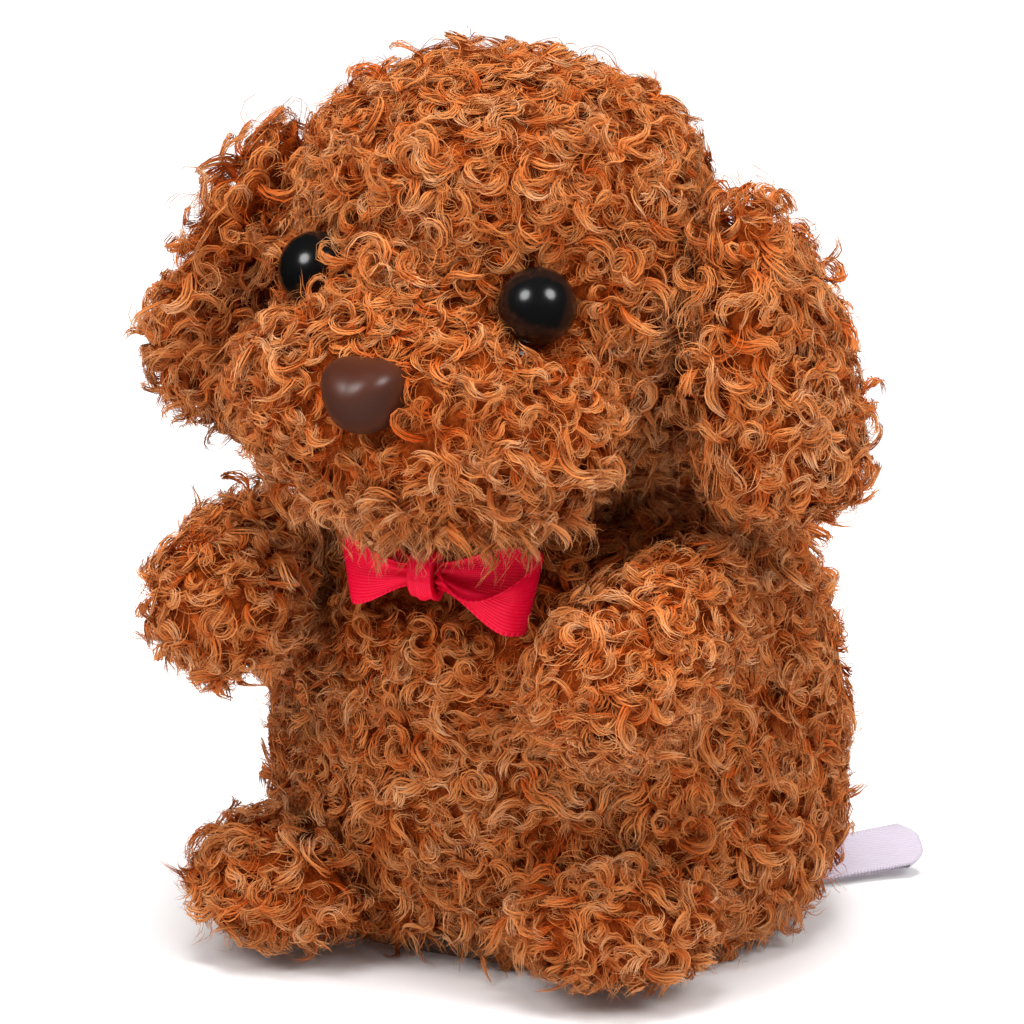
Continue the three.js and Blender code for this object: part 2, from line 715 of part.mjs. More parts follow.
function baseGroup() {
  const group = new THREE.Group();
  group.add(part('base_tray', baseTray(), MATERIAL.casing));
  group.add(part('battery_door', batteryDoor(), MATERIAL.casing));

  const doorScrew = part('door_screw', screwSolid(2.5, 1.2, 1.2, 5), MATERIAL.steel);
  doorScrew.position.set(0, DOOR.screwY, 0.45);
  group.add(doorScrew);

  const plateX0 = BAY.halfLength - GAP;
  const nubX = plateX0 - 0.4 - GAP;
  for (let i = 0; i < CELL.count; i += 1) {
    const facing = i % 2 === 0 ? 1 : -1;
    const y = BAY.y + (i - 1) * CELL.pitch;
    const cell = part(`battery_${i + 1}`, cellSolid(), MATERIAL.cell);
    cell.position.set(facing * (nubX - CELL.length / 2), y, CELL.z);
    cell.rotation.z = facing > 0 ? 0 : Math.PI;
    group.add(cell);
    const spring = part(`contact_spring_${i + 1}`, contactSpring(), MATERIAL.steel);
    spring.position.set(-facing * (nubX - 0.4), y, CELL.z);
    spring.rotation.z = facing > 0 ? 0 : Math.PI;
    group.add(spring);
  }

  for (const [name, side] of [['left', 1], ['right', -1]]) {
    const strip = new THREE.BoxGeometry(0.4, 2 * BAY.halfWidth - 1, 9.6);
    const plate = part(`contact_plate_${name}`, solid(strip), MATERIAL.steel);
    plate.position.set(side * (plateX0 - 0.2), BAY.y, CELL.z);
    group.add(plate);
  }

  group.add(part('power_switch_body', switchBody(), MATERIAL.black));
  group.add(part('power_switch_knob', switchKnob(), MATERIAL.black));
  return group;
}

// ---------------------------------------------------------------------------------------------------
// Housing: front and rear shells, their screws, speaker, microphone and circuit board
// ---------------------------------------------------------------------------------------------------

const SCREW_PLACES = HOUSING.screwZ.flatMap((z) => [[HOUSING.screwX, z], [-HOUSING.screwX, z]]);

function housingBox() {
  return cut(
    plateZ(corePlan(0), [HOUSING.bottom, HOUSING.top]),
    plateZ(corePlan(CORE.wall), [HOUSING.bottom + CORE.wall, HOUSING.top - CORE.wall]));
}

// Bosses stand inside the walls and run from one wall to the other.
function screwBosses() {
  const inside = plateZ(corePlan(0.5), [HOUSING.bottom, HOUSING.top]);
  const bosses = SCREW_PLACES.map((place) => rodY(3.9, [-30, 30], place, 10));
  return joined(...bosses).intersect(inside);
}

function neckSlot() {
  return block(
    [LAYER.leftPlate[0] - 1, LAYER.rightPlate[1] + 1], [PIVOT[0] - 9, PIVOT[0] + 9],
    [HOUSING.top - 4, HOUSING.top + 1]);
}

function housingHalf(side) {
  const range = side < 0 ? [-40, -GAP / 2] : [GAP / 2, 40];
  const whole = joined(housingBox(), screwBosses());
  const half = whole.intersect(block([-60, 60], range, [0, 90]));
  const shanks = SCREW_PLACES.map((place) => rodY(1.6, [-10, 40], place, 8));
  return cut(half, neckSlot(), ...shanks);
}

function housingFront() {
  const slots = [-8, -4, 0, 4, 8].map((dz) => {
    const half = Math.sqrt(SPEAKER.radius ** 2 - dz ** 2) - 4;
    return block([-half, half], [-40, -27], [SPEAKER.z + dz - 0.9, SPEAKER.z + dz + 0.9]);
  });
  const microphoneHole = rodY(1, [-40, -27], [0, 65], 10);
  return cut(housingHalf(-1), ...slots, microphoneHole);
}

function housingRear() {
  const counterbores = SCREW_PLACES.map((place) => rodY(3, [20, 40], place, 10));
  return cut(housingHalf(1), ...counterbores);
}

function speakerFrame() {
  const { radius: r, depth } = SPEAKER;
  const points = [
    [r - 1.6, 0], [r, 0], [r, 1.6], [r - 1.8, 1.8], [8, depth - 1.2], [8, depth], [5, depth],
    [5, depth - 1.2], [7.2, depth - 1.4], [r - 2.6, 1.8],
  ];
  points.push(points[0]);
  return faceForward(solid(turned(points, 16)));
}

function speakerCone() {
  const r = SPEAKER.radius;
  const points = [
    [0, 3.2], [3.4, 3.4], [r - 4.4, 1.2], [r - 2.4, 0.3], [r - 2.2, 0.7], [r - 4.4, 1.7], [3.6, 4.4],
    [3.6, 5.8], [0, 5.8],
  ];
  return faceForward(solid(turned(points, 16)));
}

function speakerMagnet() {
  const points = [[0, SPEAKER.depth + GAP], [7.5, SPEAKER.depth + GAP], [7.5, 12.2], [7, 12.7], [0, 12.7]];
  return faceForward(solid(turned(points, 14)));
}

// Turns a form made upwards so that its lower end faces the front, and puts it in the speaker's place.
function faceForward(shape) {
  const geometry = geometryOf(shape);
  geometry.rotateX(-Math.PI / 2);
  geometry.translate(0, SPEAKER.front, SPEAKER.z);
  return geometry;
}

function housingGroup() {
  const group = new THREE.Group();
  group.add(part('housing_front', housingFront(), MATERIAL.casing));
  group.add(part('housing_rear', housingRear(), MATERIAL.casing));
  SCREW_PLACES.forEach(([x, z], i) => {
    const screw = part(`housing_screw_${i + 1}`, screwSolid(2.6, 1.6, 1.2, 28), MATERIAL.steel);
    screw.position.set(x, 21.9, z);
    screw.rotation.x = Math.PI / 2;
    group.add(screw);
  });

  group.add(part('speaker_frame', speakerFrame(), MATERIAL.steel));
  group.add(part('speaker_cone', speakerCone(), MATERIAL.paper));
  group.add(part('speaker_magnet', speakerMagnet(), MATERIAL.steel));
  group.add(part('microphone', rodY(3, [-28.4, -24.4], [0, 65], 16), MATERIAL.brass));

  const face = BOARD.y;
  const board = block(
    [-BOARD.halfWidth, BOARD.halfWidth], [face, face + BOARD.thickness], [BOARD.z0, BOARD.z1]);
  group.add(part('circuit_board', board, MATERIAL.board));
  const chip = block([7, 15], [face - GAP - 1.8, face - GAP], [31, 41]);
  group.add(part('sound_chip', chip, MATERIAL.black));
  group.add(part('capacitor', rodY(2.5, [face - GAP - 7, face - GAP], [11, 56], 14), MATERIAL.black));
  return group;
}

// ---------------------------------------------------------------------------------------------------
// Nod drive: chassis, motor, belt, gears, crank and the head's lever
// ---------------------------------------------------------------------------------------------------

function involute(angle) {
  return Math.tan(angle) - angle;
}

// The outline of a spur gear about `centre`, with one tooth pointing along `bearing` (degrees).
function gearShape(teeth, centre, bearing) {
  const pressure = radians(25);
  const backlash = 0.16;
  const pitch = MODULE * teeth / 2;
  const base = pitch * Math.cos(pressure);
  const tip = pitch + 0.85 * MODULE;
  const root = pitch - 1.2 * MODULE;
  const halfAtPitch = Math.PI / (2 * teeth) - backlash / (2 * pitch);
  const halfAt = (radius) => {
    const clipped = Math.max(radius, base);
    return halfAtPitch + involute(pressure) - involute(Math.acos(base / clipped));
  };
  const shape = new THREE.Shape();
  for (let i = 0; i < teeth; i += 1) {
    const middle = radians(bearing) + 2 * Math.PI * i / teeth;
    for (const [radius, turn] of [[root, -1], [tip, -1], [tip, 1], [root, 1]]) {
      const angle = middle + turn * halfAt(radius);
      const point = [centre[0] + radius * Math.cos(angle), centre[1] + radius * Math.sin(angle)];
      if (i === 0 && radius === root && turn < 0) {
        shape.moveTo(...point);
      } else {
        shape.lineTo(...point);
      }
    }
  }
  return shape;
}

function gearSolid(teeth, layer, centre, bearing) {
  return plateX(gearShape(teeth, centre, bearing), layer);
}

// A gap, not a tooth, faces the meshing gear.
function gapTowards(teeth, bearing) {
  return bearing + 180 / teeth;
}

function crankGear() {
  const pin = polar(CRANK, CRANK_RADIUS, -90 - CRANK_PER_NOD * NOD_AT_REST);
  const wheel = gearSolid(WHEEL_TEETH, LAYER.crankGear, CRANK, IDLER_BEARING);
  const hub = rodX(2, [LAYER.leftPlate[1] + GAP, LAYER.crankGear[0] + 0.1], CRANK);
  const crankPin = rodX(1.2, [LAYER.crankGear[1] - 0.5, LAYER.lever[1] + 0.5], pin, 14);
  return cut(joined(wheel, hub, crankPin), rodX(BORE, [-12, -1.9], CRANK, 14));
}

function idlerGear() {
  const back = IDLER_BEARING + 180;
  const wheel = gearSolid(WHEEL_TEETH, LAYER.idlerWheel, IDLER, PULLEY_BEARING);
  const pinion = gearSolid(
    PINION_TEETH, [LAYER.idlerWheel[1] - 0.1, LAYER.crankGear[1] + 0.2], IDLER, gapTowards(PINION_TEETH, back));
  const boss = rodX(2, [LAYER.leftPlate[1] + GAP, LAYER.idlerWheel[0] + 0.1], IDLER);
  return cut(joined(wheel, pinion, boss), rodX(BORE, [-12, 0], IDLER, 14));
}

// A pulley profile with a flat seat between two rims, centred on its own axis.
function pulleySolid(seat, rim, centre) {
  const [x0, x1] = LAYER.pulley;
  const discs = [[x0, BELT.x0 - GAP], [BELT.x1 + GAP, x1]].map((layer) => rodX(rim, layer, centre, 18));
  return joined(rodX(seat, [x0, x1], centre, 16), ...discs);
}

function pulleyGear() {
  const back = PULLEY_BEARING + 180;
  const pulley = pulleySolid(BELT.seatLarge, BELT.seatLarge + 1.7, PULLEY);
  const neck = rodX(2, [LAYER.pulley[1] - 0.1, LAYER.leftPlate[1] + GAP], PULLEY);
  const pinion = gearSolid(
    PINION_TEETH, [LAYER.leftPlate[1] + GAP - 0.1, LAYER.idlerWheel[1] + 0.3], PULLEY,
    gapTowards(PINION_TEETH, back));
  return cut(joined(pulley, neck, pinion), rodX(BORE, [-20, 0], PULLEY, 14));
}

// The loop of belt round both pulleys: two arcs and the two straight runs between them.
function beltLoop(grow) {
  const small = BELT.seatSmall + GAP + grow;
  const large = BELT.seatLarge + GAP + grow;
  const dy = PULLEY[0] - MOTOR[0];
  const dz = PULLEY[1] - MOTOR[1];
  const heading = Math.atan2(dz, dy);
  const lean = Math.acos((large - small) / Math.hypot(dy, dz));
  const away = heading + Math.PI;
  const path = new THREE.Path();
  path.absarc(PULLEY[0], PULLEY[1], large, away + lean, away - lean + 2 * Math.PI);
  path.absarc(MOTOR[0], MOTOR[1], small, away - lean, away + lean);
  return path;
}

function driveBelt() {
  const shape = new THREE.Shape(beltLoop(BELT.thickness).getPoints(8));
  shape.holes.push(new THREE.Path(beltLoop(0).getPoints(8).reverse()));
  return plateX(shape, [BELT.x0, BELT.x1]);
}

function plateOutline() {
  const [y, z] = PIVOT;
  const outline = new THREE.Shape();
  outline.moveTo(-8, 19.6);
  outline.lineTo(20, 19.6);
  outline.lineTo(20, 62);
  outline.lineTo(15, 67);
  outline.lineTo(y + 5, 67);
  outline.lineTo(y + 5, z);
  outline.absarc(y, z, 5, 0, Math.PI);
  outline.lineTo(y - 5, 67);
  outline.lineTo(y - 8, 62);
  outline.lineTo(y - 8, 48);
  outline.lineTo(8, 44);
  outline.lineTo(8, 26);
  outline.lineTo(-8, 23);
  return outline;
}

function chassis() {
  const left = plateX(plateOutline(), LAYER.leftPlate);
  const right = plateX(plateOutline(), LAYER.rightPlate);
  const web = block([-22, LAYER.rightPlate[1]], [-8, 20], [19.6, 21.1]);
  const cradle = block([-22, MOTOR_CAN.x1 - 1], [MOTOR[0] - 5, MOTOR[0] + 5], [20.5, MOTOR[1] - 5]);
  const seat = rodX(MOTOR_CAN.radius + GAP, [-40, -12], MOTOR, 24);
  const motorShaftHole = rodX(2, [-12, -9], MOTOR, 12);
  const holes = [CRANK, IDLER, PIVOT].map((place) => rodX(BORE, [-20, 10], place, 14));
  const pulleyHole = rodX(2 + GAP, [-20, -5], PULLEY, 16);
  const pulleyAxleHole = rodX(BORE, [0, 10], PULLEY, 14);
  return cut(
    joined(left, right, web, cradle), seat, motorShaftHole, ...holes, pulleyHole, pulleyAxleHole);
}

function motorCan() {
  const can = rodX(MOTOR_CAN.radius, [MOTOR_CAN.x0, MOTOR_CAN.x1], MOTOR, 24);
  const collar = rodX(2.6, [MOTOR_CAN.x1 - 0.5, LAYER.pulley[0] - GAP], MOTOR, 14);
  return cut(joined(can, collar), rodX(1.1, [MOTOR_CAN.x1 - 8, -10], MOTOR, 12));
}

function motorPulley() {
  return cut(pulleySolid(BELT.seatSmall, 3.5, MOTOR), rodX(1.1, [-20, -5], MOTOR, 12));
}

// The head's own frame: a hub on the pivot, the slotted lever below it and the skull plate above.
function headFrame() {
  const [y, z] = PIVOT;
  const near = LEVER_LENGTH - CRANK_RADIUS - 2;
  const far = LEVER_LENGTH + CRANK_RADIUS + 2;
  const slotHalf = 1.2 + 0.35;
  const lever = cut(
    block(LAYER.lever, [-3.5, 3.5], [-far - 3, 0]),
    block([-3, 3], [-slotHalf, slotHalf], [-far, -near]));
  const tilted = geometryOf(lever);
  tilted.rotateX(radians(-NOD_AT_REST));
  tilted.translate(0, y, z);
  const hub = rodX(4.6, [LAYER.leftPlate[1] + GAP, LAYER.rightPlate[0] - GAP], PIVOT, 20);
  const post = block([-8, 2], [y - 3.5, y + 3.5], [z, SKULL_PLATE.z0 + 0.5]);
  const plate = rodZ(SKULL_PLATE.radius, [SKULL_PLATE.z0, SKULL_PLATE.z1], [0, SKULL_PLATE.y], 24);
  return cut(joined(solid(tilted), hub, post, plate), rodX(BORE, [-20, 10], PIVOT, 14));
}

function driveGroup() {
  const group = new THREE.Group();
  const [outer, inner] = [LAYER.leftPlate[0] - 0.3, LAYER.rightPlate[1] + 0.3];
  group.add(part('chassis', chassis(), MATERIAL.whitePlastic));
  group.add(part('head_frame', headFrame(), MATERIAL.whitePlastic));
  group.add(part('motor', motorCan(), MATERIAL.steel));
  group.add(part('motor_shaft', rodX(0.8, [MOTOR_CAN.x1 - 7, -12], MOTOR, 12), MATERIAL.steel));
  group.add(part('motor_pulley', motorPulley(), MATERIAL.brass));
  group.add(part('drive_belt', driveBelt(), MATERIAL.rubber));
  group.add(part('pulley_gear', pulleyGear(), MATERIAL.gear));
  group.add(part('idler_gear', idlerGear(), MATERIAL.gear));
  group.add(part('crank_gear', crankGear(), MATERIAL.gear));
  group.add(part('crank_axle', rodX(AXLE_RADIUS, [outer, -2.4], CRANK, 14), MATERIAL.steel));
  group.add(part('idler_axle', rodX(AXLE_RADIUS, [outer, inner], IDLER, 14), MATERIAL.steel));
  group.add(part('pulley_axle', rodX(AXLE_RADIUS, [-16.2, inner], PULLEY, 14), MATERIAL.steel));
  group.add(part('neck_pin', rodX(AXLE_RADIUS, [outer, inner], PIVOT, 14), MATERIAL.steel));
  return group;
}

// ---------------------------------------------------------------------------------------------------
// Leads: the wire pairs from the motor and the speaker to the circuit board
// ---------------------------------------------------------------------------------------------------

const LEAD_RADIUS = 0.9;

const MOTOR_LEAD = [[-28, 5.8, 38], [-27.5, 10, 37], [-25, 16, 34.5], [-19, 21, 32], [-14, 23.6, 30.6],
  [-12.4, 24.6, 30]];
const SPEAKER_LEAD = [[12.9, -24.2, 38.5], [17, -16, 35], [21.5, -4, 32.5], [21, 9, 34], [18.5, 18, 40],
  [16.4, 22.5, 45], [16, 24.8, 46]];

function leadSolid(route) {
  const wire = new THREE.Shape();
  wire.absarc(0, 0, LEAD_RADIUS, 0, 2 * Math.PI);
  const path = new THREE.CatmullRomCurve3(route.map((point) => new THREE.Vector3(...point)));
  return solid(new THREE.ExtrudeGeometry(wire, {
    steps: 16, curveSegments: 4, bevelEnabled: false, extrudePath: path }));
}

function leadGroup() {
  const group = new THREE.Group();
  group.add(part('motor_lead', leadSolid(MOTOR_LEAD), MATERIAL.rubber));
  group.add(part('speaker_lead', leadSolid(SPEAKER_LEAD), MATERIAL.rubber));
  return group;
}

// ---------------------------------------------------------------------------------------------------
// The whole toy
// ---------------------------------------------------------------------------------------------------

const toy = new THREE.Group();
toy.add(plushGroup(), bowGroup(), headGroup(), baseGroup(), housingGroup(), driveGroup(), leadGroup());
toy.position.y = BODY_AXIS_Y;

export default toy;
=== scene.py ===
"""Interactive plush pet: the looks of every piece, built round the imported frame. Metres, +Z up."""

import json
import math

import bmesh
import bpy
import numpy as np
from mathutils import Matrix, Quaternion, Vector
from mathutils.bvhtree import BVHTree
from mathutils.kdtree import KDTree


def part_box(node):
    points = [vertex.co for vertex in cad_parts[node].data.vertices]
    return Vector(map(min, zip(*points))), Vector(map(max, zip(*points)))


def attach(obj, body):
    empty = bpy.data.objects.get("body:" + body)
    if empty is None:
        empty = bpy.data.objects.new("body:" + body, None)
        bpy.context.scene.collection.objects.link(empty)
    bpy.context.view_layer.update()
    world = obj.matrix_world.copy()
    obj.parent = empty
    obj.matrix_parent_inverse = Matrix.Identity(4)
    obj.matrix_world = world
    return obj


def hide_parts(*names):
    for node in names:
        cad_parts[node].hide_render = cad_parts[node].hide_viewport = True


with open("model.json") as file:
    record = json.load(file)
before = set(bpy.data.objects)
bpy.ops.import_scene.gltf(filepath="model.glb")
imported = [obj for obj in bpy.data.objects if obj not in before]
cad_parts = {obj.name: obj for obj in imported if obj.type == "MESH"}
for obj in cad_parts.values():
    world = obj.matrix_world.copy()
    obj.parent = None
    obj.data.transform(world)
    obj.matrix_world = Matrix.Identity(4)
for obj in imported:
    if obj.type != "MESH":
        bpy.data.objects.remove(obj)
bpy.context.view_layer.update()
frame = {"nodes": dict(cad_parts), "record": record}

MM = 0.001
SEED = 20261
UP = np.array((0, 0, 1))

# ---------------------------------------------------------------- driving values

# The toy stands on its base with its nose towards -Y and its own left towards +X.
AXIS_Y = 8.4 * MM
SIDES = ("left", "right")

CAMERA_AZIMUTH = math.radians(27)
CAMERA_ELEVATION = math.radians(14.5)
CAMERA_DISTANCE = 1.0
CAMERA_LENS = 200.4
CAMERA_SENSOR = 36
CAMERA_ASIDE = -6.7 * MM
CAMERA_HEIGHT = 73.1 * MM

# The cloth lies under the pile, this far inside the outer surface that the frame gives.
DEEP_PILE = 3.4 * MM
SHORT_PILE = 2.8 * MM
SKIN_VOXEL = 1.5 * MM
SKIN_SMOOTHING = 5
RAY_DIVISIONS = 7
GROUND = 0.4 * MM

# The pile: locks of strands side by side, loose fibres between them, and tufts with creases round them; the
# locks at a tuft's edge and near the hollows get painted shade.
LOCK_GAP = 1.7 * MM
LOCK_POINTS = 10
LOCK_STRANDS = 15
LOCK_WIDTH = 1.9 * MM
LOCK_WIDTH_RANGE = (0.6, 1.3)
LOCK_LENGTH = (6.5 * MM, 13.5 * MM)
CURL_RADIUS = (1.5 * MM, 4.0 * MM)
RISE_DEGREES = (40, 92)
LOOSE_SHARE = 0.12
LOOSE_DEGREES = (8, 30)
FIBRE_DEGREES = (-5, 28)
LOCK_DROOP = 0.35
HANGING_DROOP = 0.9
TUFT_GAP = 8.0 * MM
FIBRE_GAP = 1.7 * MM
FIBRE_STRANDS = 3
FIBRE_WIDTH = 0.12 * MM
FIBRE_SPREAD = 2.4 * MM
ROOT_JITTER = 0.35 * MM
ROOT_DEPTH = 0.4 * MM
STRAY = 0.2 * MM
FAN = 0.45 * MM
CLEARING = 5.0 * MM
# How far the painted shade reaches out from the balls that the pile keeps clear of; locks nearer to them
# are painted darker.
PAINTED_SHADE_REACH = 15.0 * MM
LOW_PILE = 10 * MM
PRESS = 1.2 * MM
EDGE_PLACES = (0.02, 0.98)
STRAND_NUMBERS = 997

# Where the pile is left out: under the head, over the base, and where a limb goes into the body.
NECK_RADIUS = 12 * MM
BASE_RADIUS = 36 * MM
LIMB_RADIUS = 42 * MM

# Where the cloth is raised: a place, how far round it, and how much. The second place is seen from the eye.
BODY_PUFF = (Vector((46, 31, 28)) * MM, 34 * MM, 3.2 * MM)
RIGHT_EYE_PUFF = (Vector((9, -3, 1)) * MM, 8 * MM, 3 * MM)

# How much each thing changes the tone that picks a colour from FUR_STOPS.
ALONG_TONE = 0.52
# The lock's tone is random with painted shade in it: darker at a tuft's edge and near the hollows.
LOCK_TONE_AND_SHADE = 0.26
STRAND_TONE = 0.12
STREAK_TONE = 0.3
PATCH_TONE = 0.3
BASE_TONE = -0.02
FUR_STOPS = (
    (0.0, (0.34, 0.026, 0.001)),
    (0.25, (0.50, 0.080, 0.007)),
    (0.55, (0.64, 0.220, 0.060)),
    (1.0, (0.86, 0.56, 0.33)),
)
BACKING_STOPS = ((0.3, (0.16, 0.018, 0.001)), (0.75, (0.34, 0.060, 0.006)))
NOSE_COLOUR = (0.060, 0.017, 0.009)

EYE_SEGMENTS = 64
NOSE_SEGMENTS = 72
NOSE_DEPTH = 7.5 * MM
RIBBON_WIDTH = 14.5 * MM
RIBBON_LENGTH = 70 * MM
LABEL_WIDTH = 10 * MM
LABEL_REACH = 21.5 * MM
LABEL_BEND = 0.7 * MM
LABEL_TILT = math.radians(42)
# An ear's width against the frame's, by height in millimetres.
EAR_WIDTHS = {
    "ear_left": ((88, 1.2), (97, 1.0), (106, 0.88), (113, 0.84), (120, 0.90), (134, 1.06)),
    "ear_right": ((109, 1.0), (115, 0.85), (121, 0.71), (134, 0.64)),
}
LOOP_ROWS = 84
LOOP_COLUMNS = 25
BOW_SWEEP = 4.5 * MM
BOW_LOOPS = {
    "left": {"sign": 1, "drop": 2.4 * MM, "sag": 7.5 * MM, "lean": 2.4 * MM, "bend": 2.9 * MM},
    "right": {"sign": -1, "drop": 0.2 * MM, "sag": 2.2 * MM, "lean": 0.8 * MM, "bend": 2.2 * MM},
}
CLOTH_THICKNESS = 0.16 * MM

WORLD_STRENGTH = 0.42
LIGHT_TARGET = Vector((0, 0, 0.08))
FLOOR_HALF = 3.0

# ---------------------------------------------------------------- small tools


def link(obj):
    """Puts an object in the scene and returns it."""
    bpy.context.scene.collection.objects.link(obj)
    return obj


def grid_faces(rows, columns, closed=False):
    """Quads of a grid of points numbered row by row; closed joins the last row to the first."""
    steps = rows if closed else rows - 1
    row = np.arange(steps)[:, None]
    column = np.arange(columns - 1)[None, :]
    after = (row + 1) % rows
    corners = (
        row * columns + column,
        row * columns + column + 1,
        after * columns + column + 1,
        after * columns + column,
    )
    return np.stack(corners, axis=-1).reshape(-1, 4)


def quad_mesh(name, points, quads):
    """A smooth mesh of quads, filled from arrays."""
    mesh = bpy.data.meshes.new(name)
    mesh.vertices.add(len(points))
    mesh.vertices.foreach_set("co", np.asarray(points, np.float32).ravel())
    mesh.loops.add(quads.size)
    mesh.loops.foreach_set("vertex_index", np.asarray(quads, np.int32).ravel())
    mesh.polygons.add(len(quads))
    mesh.polygons.foreach_set("loop_start", np.arange(0, quads.size, 4, dtype=np.int32))
    mesh.polygons.foreach_set("use_smooth", np.full(len(quads), True))
    mesh.update(calc_edges=True)
    return mesh


def grid_piece(name, points, closed=False):
    """An object made of one grid of points, given as rows x columns x 3."""
    rows, columns = points.shape[:2]
    mesh = quad_mesh(name, points.reshape(-1, 3), grid_faces(rows, columns, closed))
    return link(bpy.data.objects.new(name, mesh))


def add_modifier(obj, kind, **settings):
    """Adds a modifier with its settings."""
    modifier = obj.modifiers.new(kind.title(), kind)
    for key, value in settings.items():
        setattr(modifier, key, value)


def apply_modifiers(obj):
    """Makes an object's mesh what its modifiers show, and takes them off."""
    graph = bpy.context.evaluated_depsgraph_get()
    made = bpy.data.meshes.new_from_object(obj.evaluated_get(graph), depsgraph=graph)
    obj.modifiers.clear()
    obj.data = made


def points_of(mesh):
    """A mesh's vertices as an array."""
    co = np.empty(len(mesh.vertices) * 3, np.float32)
    mesh.vertices.foreach_get("co", co)
    return co.reshape(-1, 3).astype(float)


def normals_of(mesh):
    """A mesh's vertex normals as an array."""
    normals = np.empty(len(mesh.vertices) * 3, np.float32)
    mesh.vertex_normals.foreach_get("vector", normals)
    return normals.reshape(-1, 3).astype(float)


def set_points(form, points):
    """Moves a form's vertices to new places."""
    form.data.vertices.foreach_set("co", points.astype(np.float32).ravel())
    form.data.update()


def unit(vectors):
    """Vectors scaled to length 1."""
    return vectors / np.maximum(np.linalg.norm(vectors, axis=-1, keepdims=True), 1e-12)


def ease(t):
    """A smooth step from 0 to 1."""
    t = np.clip(t, 0, 1)
    return t * t * (3 - 2 * t)


# ---------------------------------------------------------------- materials


class Finish:
    """A material with one Principled shader, and short ways to feed its sockets."""

    def __init__(self, name, **sockets):
        self.material = bpy.data.materials.new(name)
        self.material.use_nodes = True
        self.nodes = self.material.node_tree.nodes
        self.links = self.material.node_tree.links
        self.shader = self.nodes["Principled BSDF"]
        for socket, value in sockets.items():
            self.shader.inputs[socket.replace("_", " ")].default_value = value

    def node(self, kind, feeds=(), **settings):
        """A node whose input sockets, by number or name, are fed by feeds."""
        made = self.nodes.new("ShaderNode" + kind)
        for key, value in settings.items():
            setattr(made, key, value)
        for socket, value in dict(feeds).items():
            if isinstance(value, bpy.types.NodeSocket):
                self.links.new(value, made.inputs[socket])
            else:
                made.inputs[socket].default_value = value
        return made

    def math(self, operation, a, b=0.0, c=0.0):
        """The result of one piece of arithmetic."""
        return self.node("Math", {0: a, 1: b, 2: c}, operation=operation).outputs[0]

    def ramp(self, value, stops):
        """A colour from a value, by stops of (place, colour)."""
        made = self.node("ValToRGB", {0: value})
        elements = made.color_ramp.elements
        while len(elements) < len(stops):
            elements.new(1)
        for element, (place, colour) in zip(elements, stops):
            element.position = place
            element.color = (*colour, 1)
        return made.outputs[0]

    def noise(self, vector, scale, detail=3.0):
        """A noise between 0 and 1."""
        feeds = {"Vector": vector, "Scale": scale, "Detail": detail, "Roughness": 0.55}
        return self.node("TexNoise", feeds).outputs[0]

    def place(self):
        """Where a point is on the object at rest."""
        return self.node("TexCoord").outputs["Object"]

    def feed(self, socket, value):
        """Feeds a socket of the shader."""
        self.links.new(value, self.shader.inputs[socket])

    def bump(self, height, strength, distance):
        """Turns a height into the shader's normal."""
        feeds = {"Height": height, "Strength": strength, "Distance": distance}
        self.feed("Normal", self.node("Bump", feeds).outputs[0])


def fur_finish():
    """Curly pile: dark at the root, lighter at the tip, each lock and strand a little different, and locks
    darkened by painted shade at tuft edges and near the hollows.
    """
    fur = Finish("plush_fur", Roughness=0.58, Specular_IOR_Level=0.2, Specular_Tint=(1.0, 0.78, 0.58, 1))
    fibre = fur.node("Attribute", attribute_name="fibre").outputs["Vector"]
    parts = fur.node("SeparateXYZ", {0: fibre}).outputs
    strand = fur.math("FLOOR", parts[0])
    across = fur.math("FRACT", parts[0])
    strand_tone = fur.node("TexWhiteNoise", {"W": strand}, noise_dimensions="1D").outputs[0]
    # The lock's tone: random, with painted shade at tuft edges and near the hollows.
    lock_tone_and_shade = parts[2]
    streak_across = fur.math("MULTIPLY", parts[0], 5.0)
    streak_along = fur.math("MULTIPLY", parts[1], 2.2)
    streak_place = fur.node("CombineXYZ", {0: streak_across, 1: streak_along, 2: lock_tone_and_shade}).outputs[0]
    streak = fur.noise(streak_place, 1.0, detail=2.0)
    patch = fur.noise(fur.place(), 55.0, detail=2.0)
    tone = fur.math("MULTIPLY_ADD", parts[1], ALONG_TONE, BASE_TONE)
    tone = fur.math("MULTIPLY_ADD", lock_tone_and_shade, LOCK_TONE_AND_SHADE, tone)
    tone = fur.math("MULTIPLY_ADD", strand_tone, STRAND_TONE, tone)
    tone = fur.math("MULTIPLY_ADD", fur.math("SUBTRACT", streak, 0.5), STREAK_TONE, tone)
    tone = fur.math("MULTIPLY_ADD", fur.math("SUBTRACT", patch, 0.5), PATCH_TONE, tone)
    fur.feed("Base Color", fur.ramp(tone, FUR_STOPS))
    rounded = fur.math("SINE", fur.math("MULTIPLY", across, math.pi))
    fur.bump(fur.math("MULTIPLY_ADD", streak, 1.2, rounded), 0.6, 0.15 * MM)
    return fur.material


def backing_finish():
    """The knitted backing between the roots of the pile."""
    backing = Finish("plush_backing", Roughness=0.95, Specular_IOR_Level=0.1)
    mottle = backing.noise(backing.place(), 700.0)
    backing.feed("Base Color", backing.ramp(mottle, BACKING_STOPS))
    backing.bump(backing.noise(backing.place(), 1600.0), 1.0, 0.8 * MM)
    return backing.material


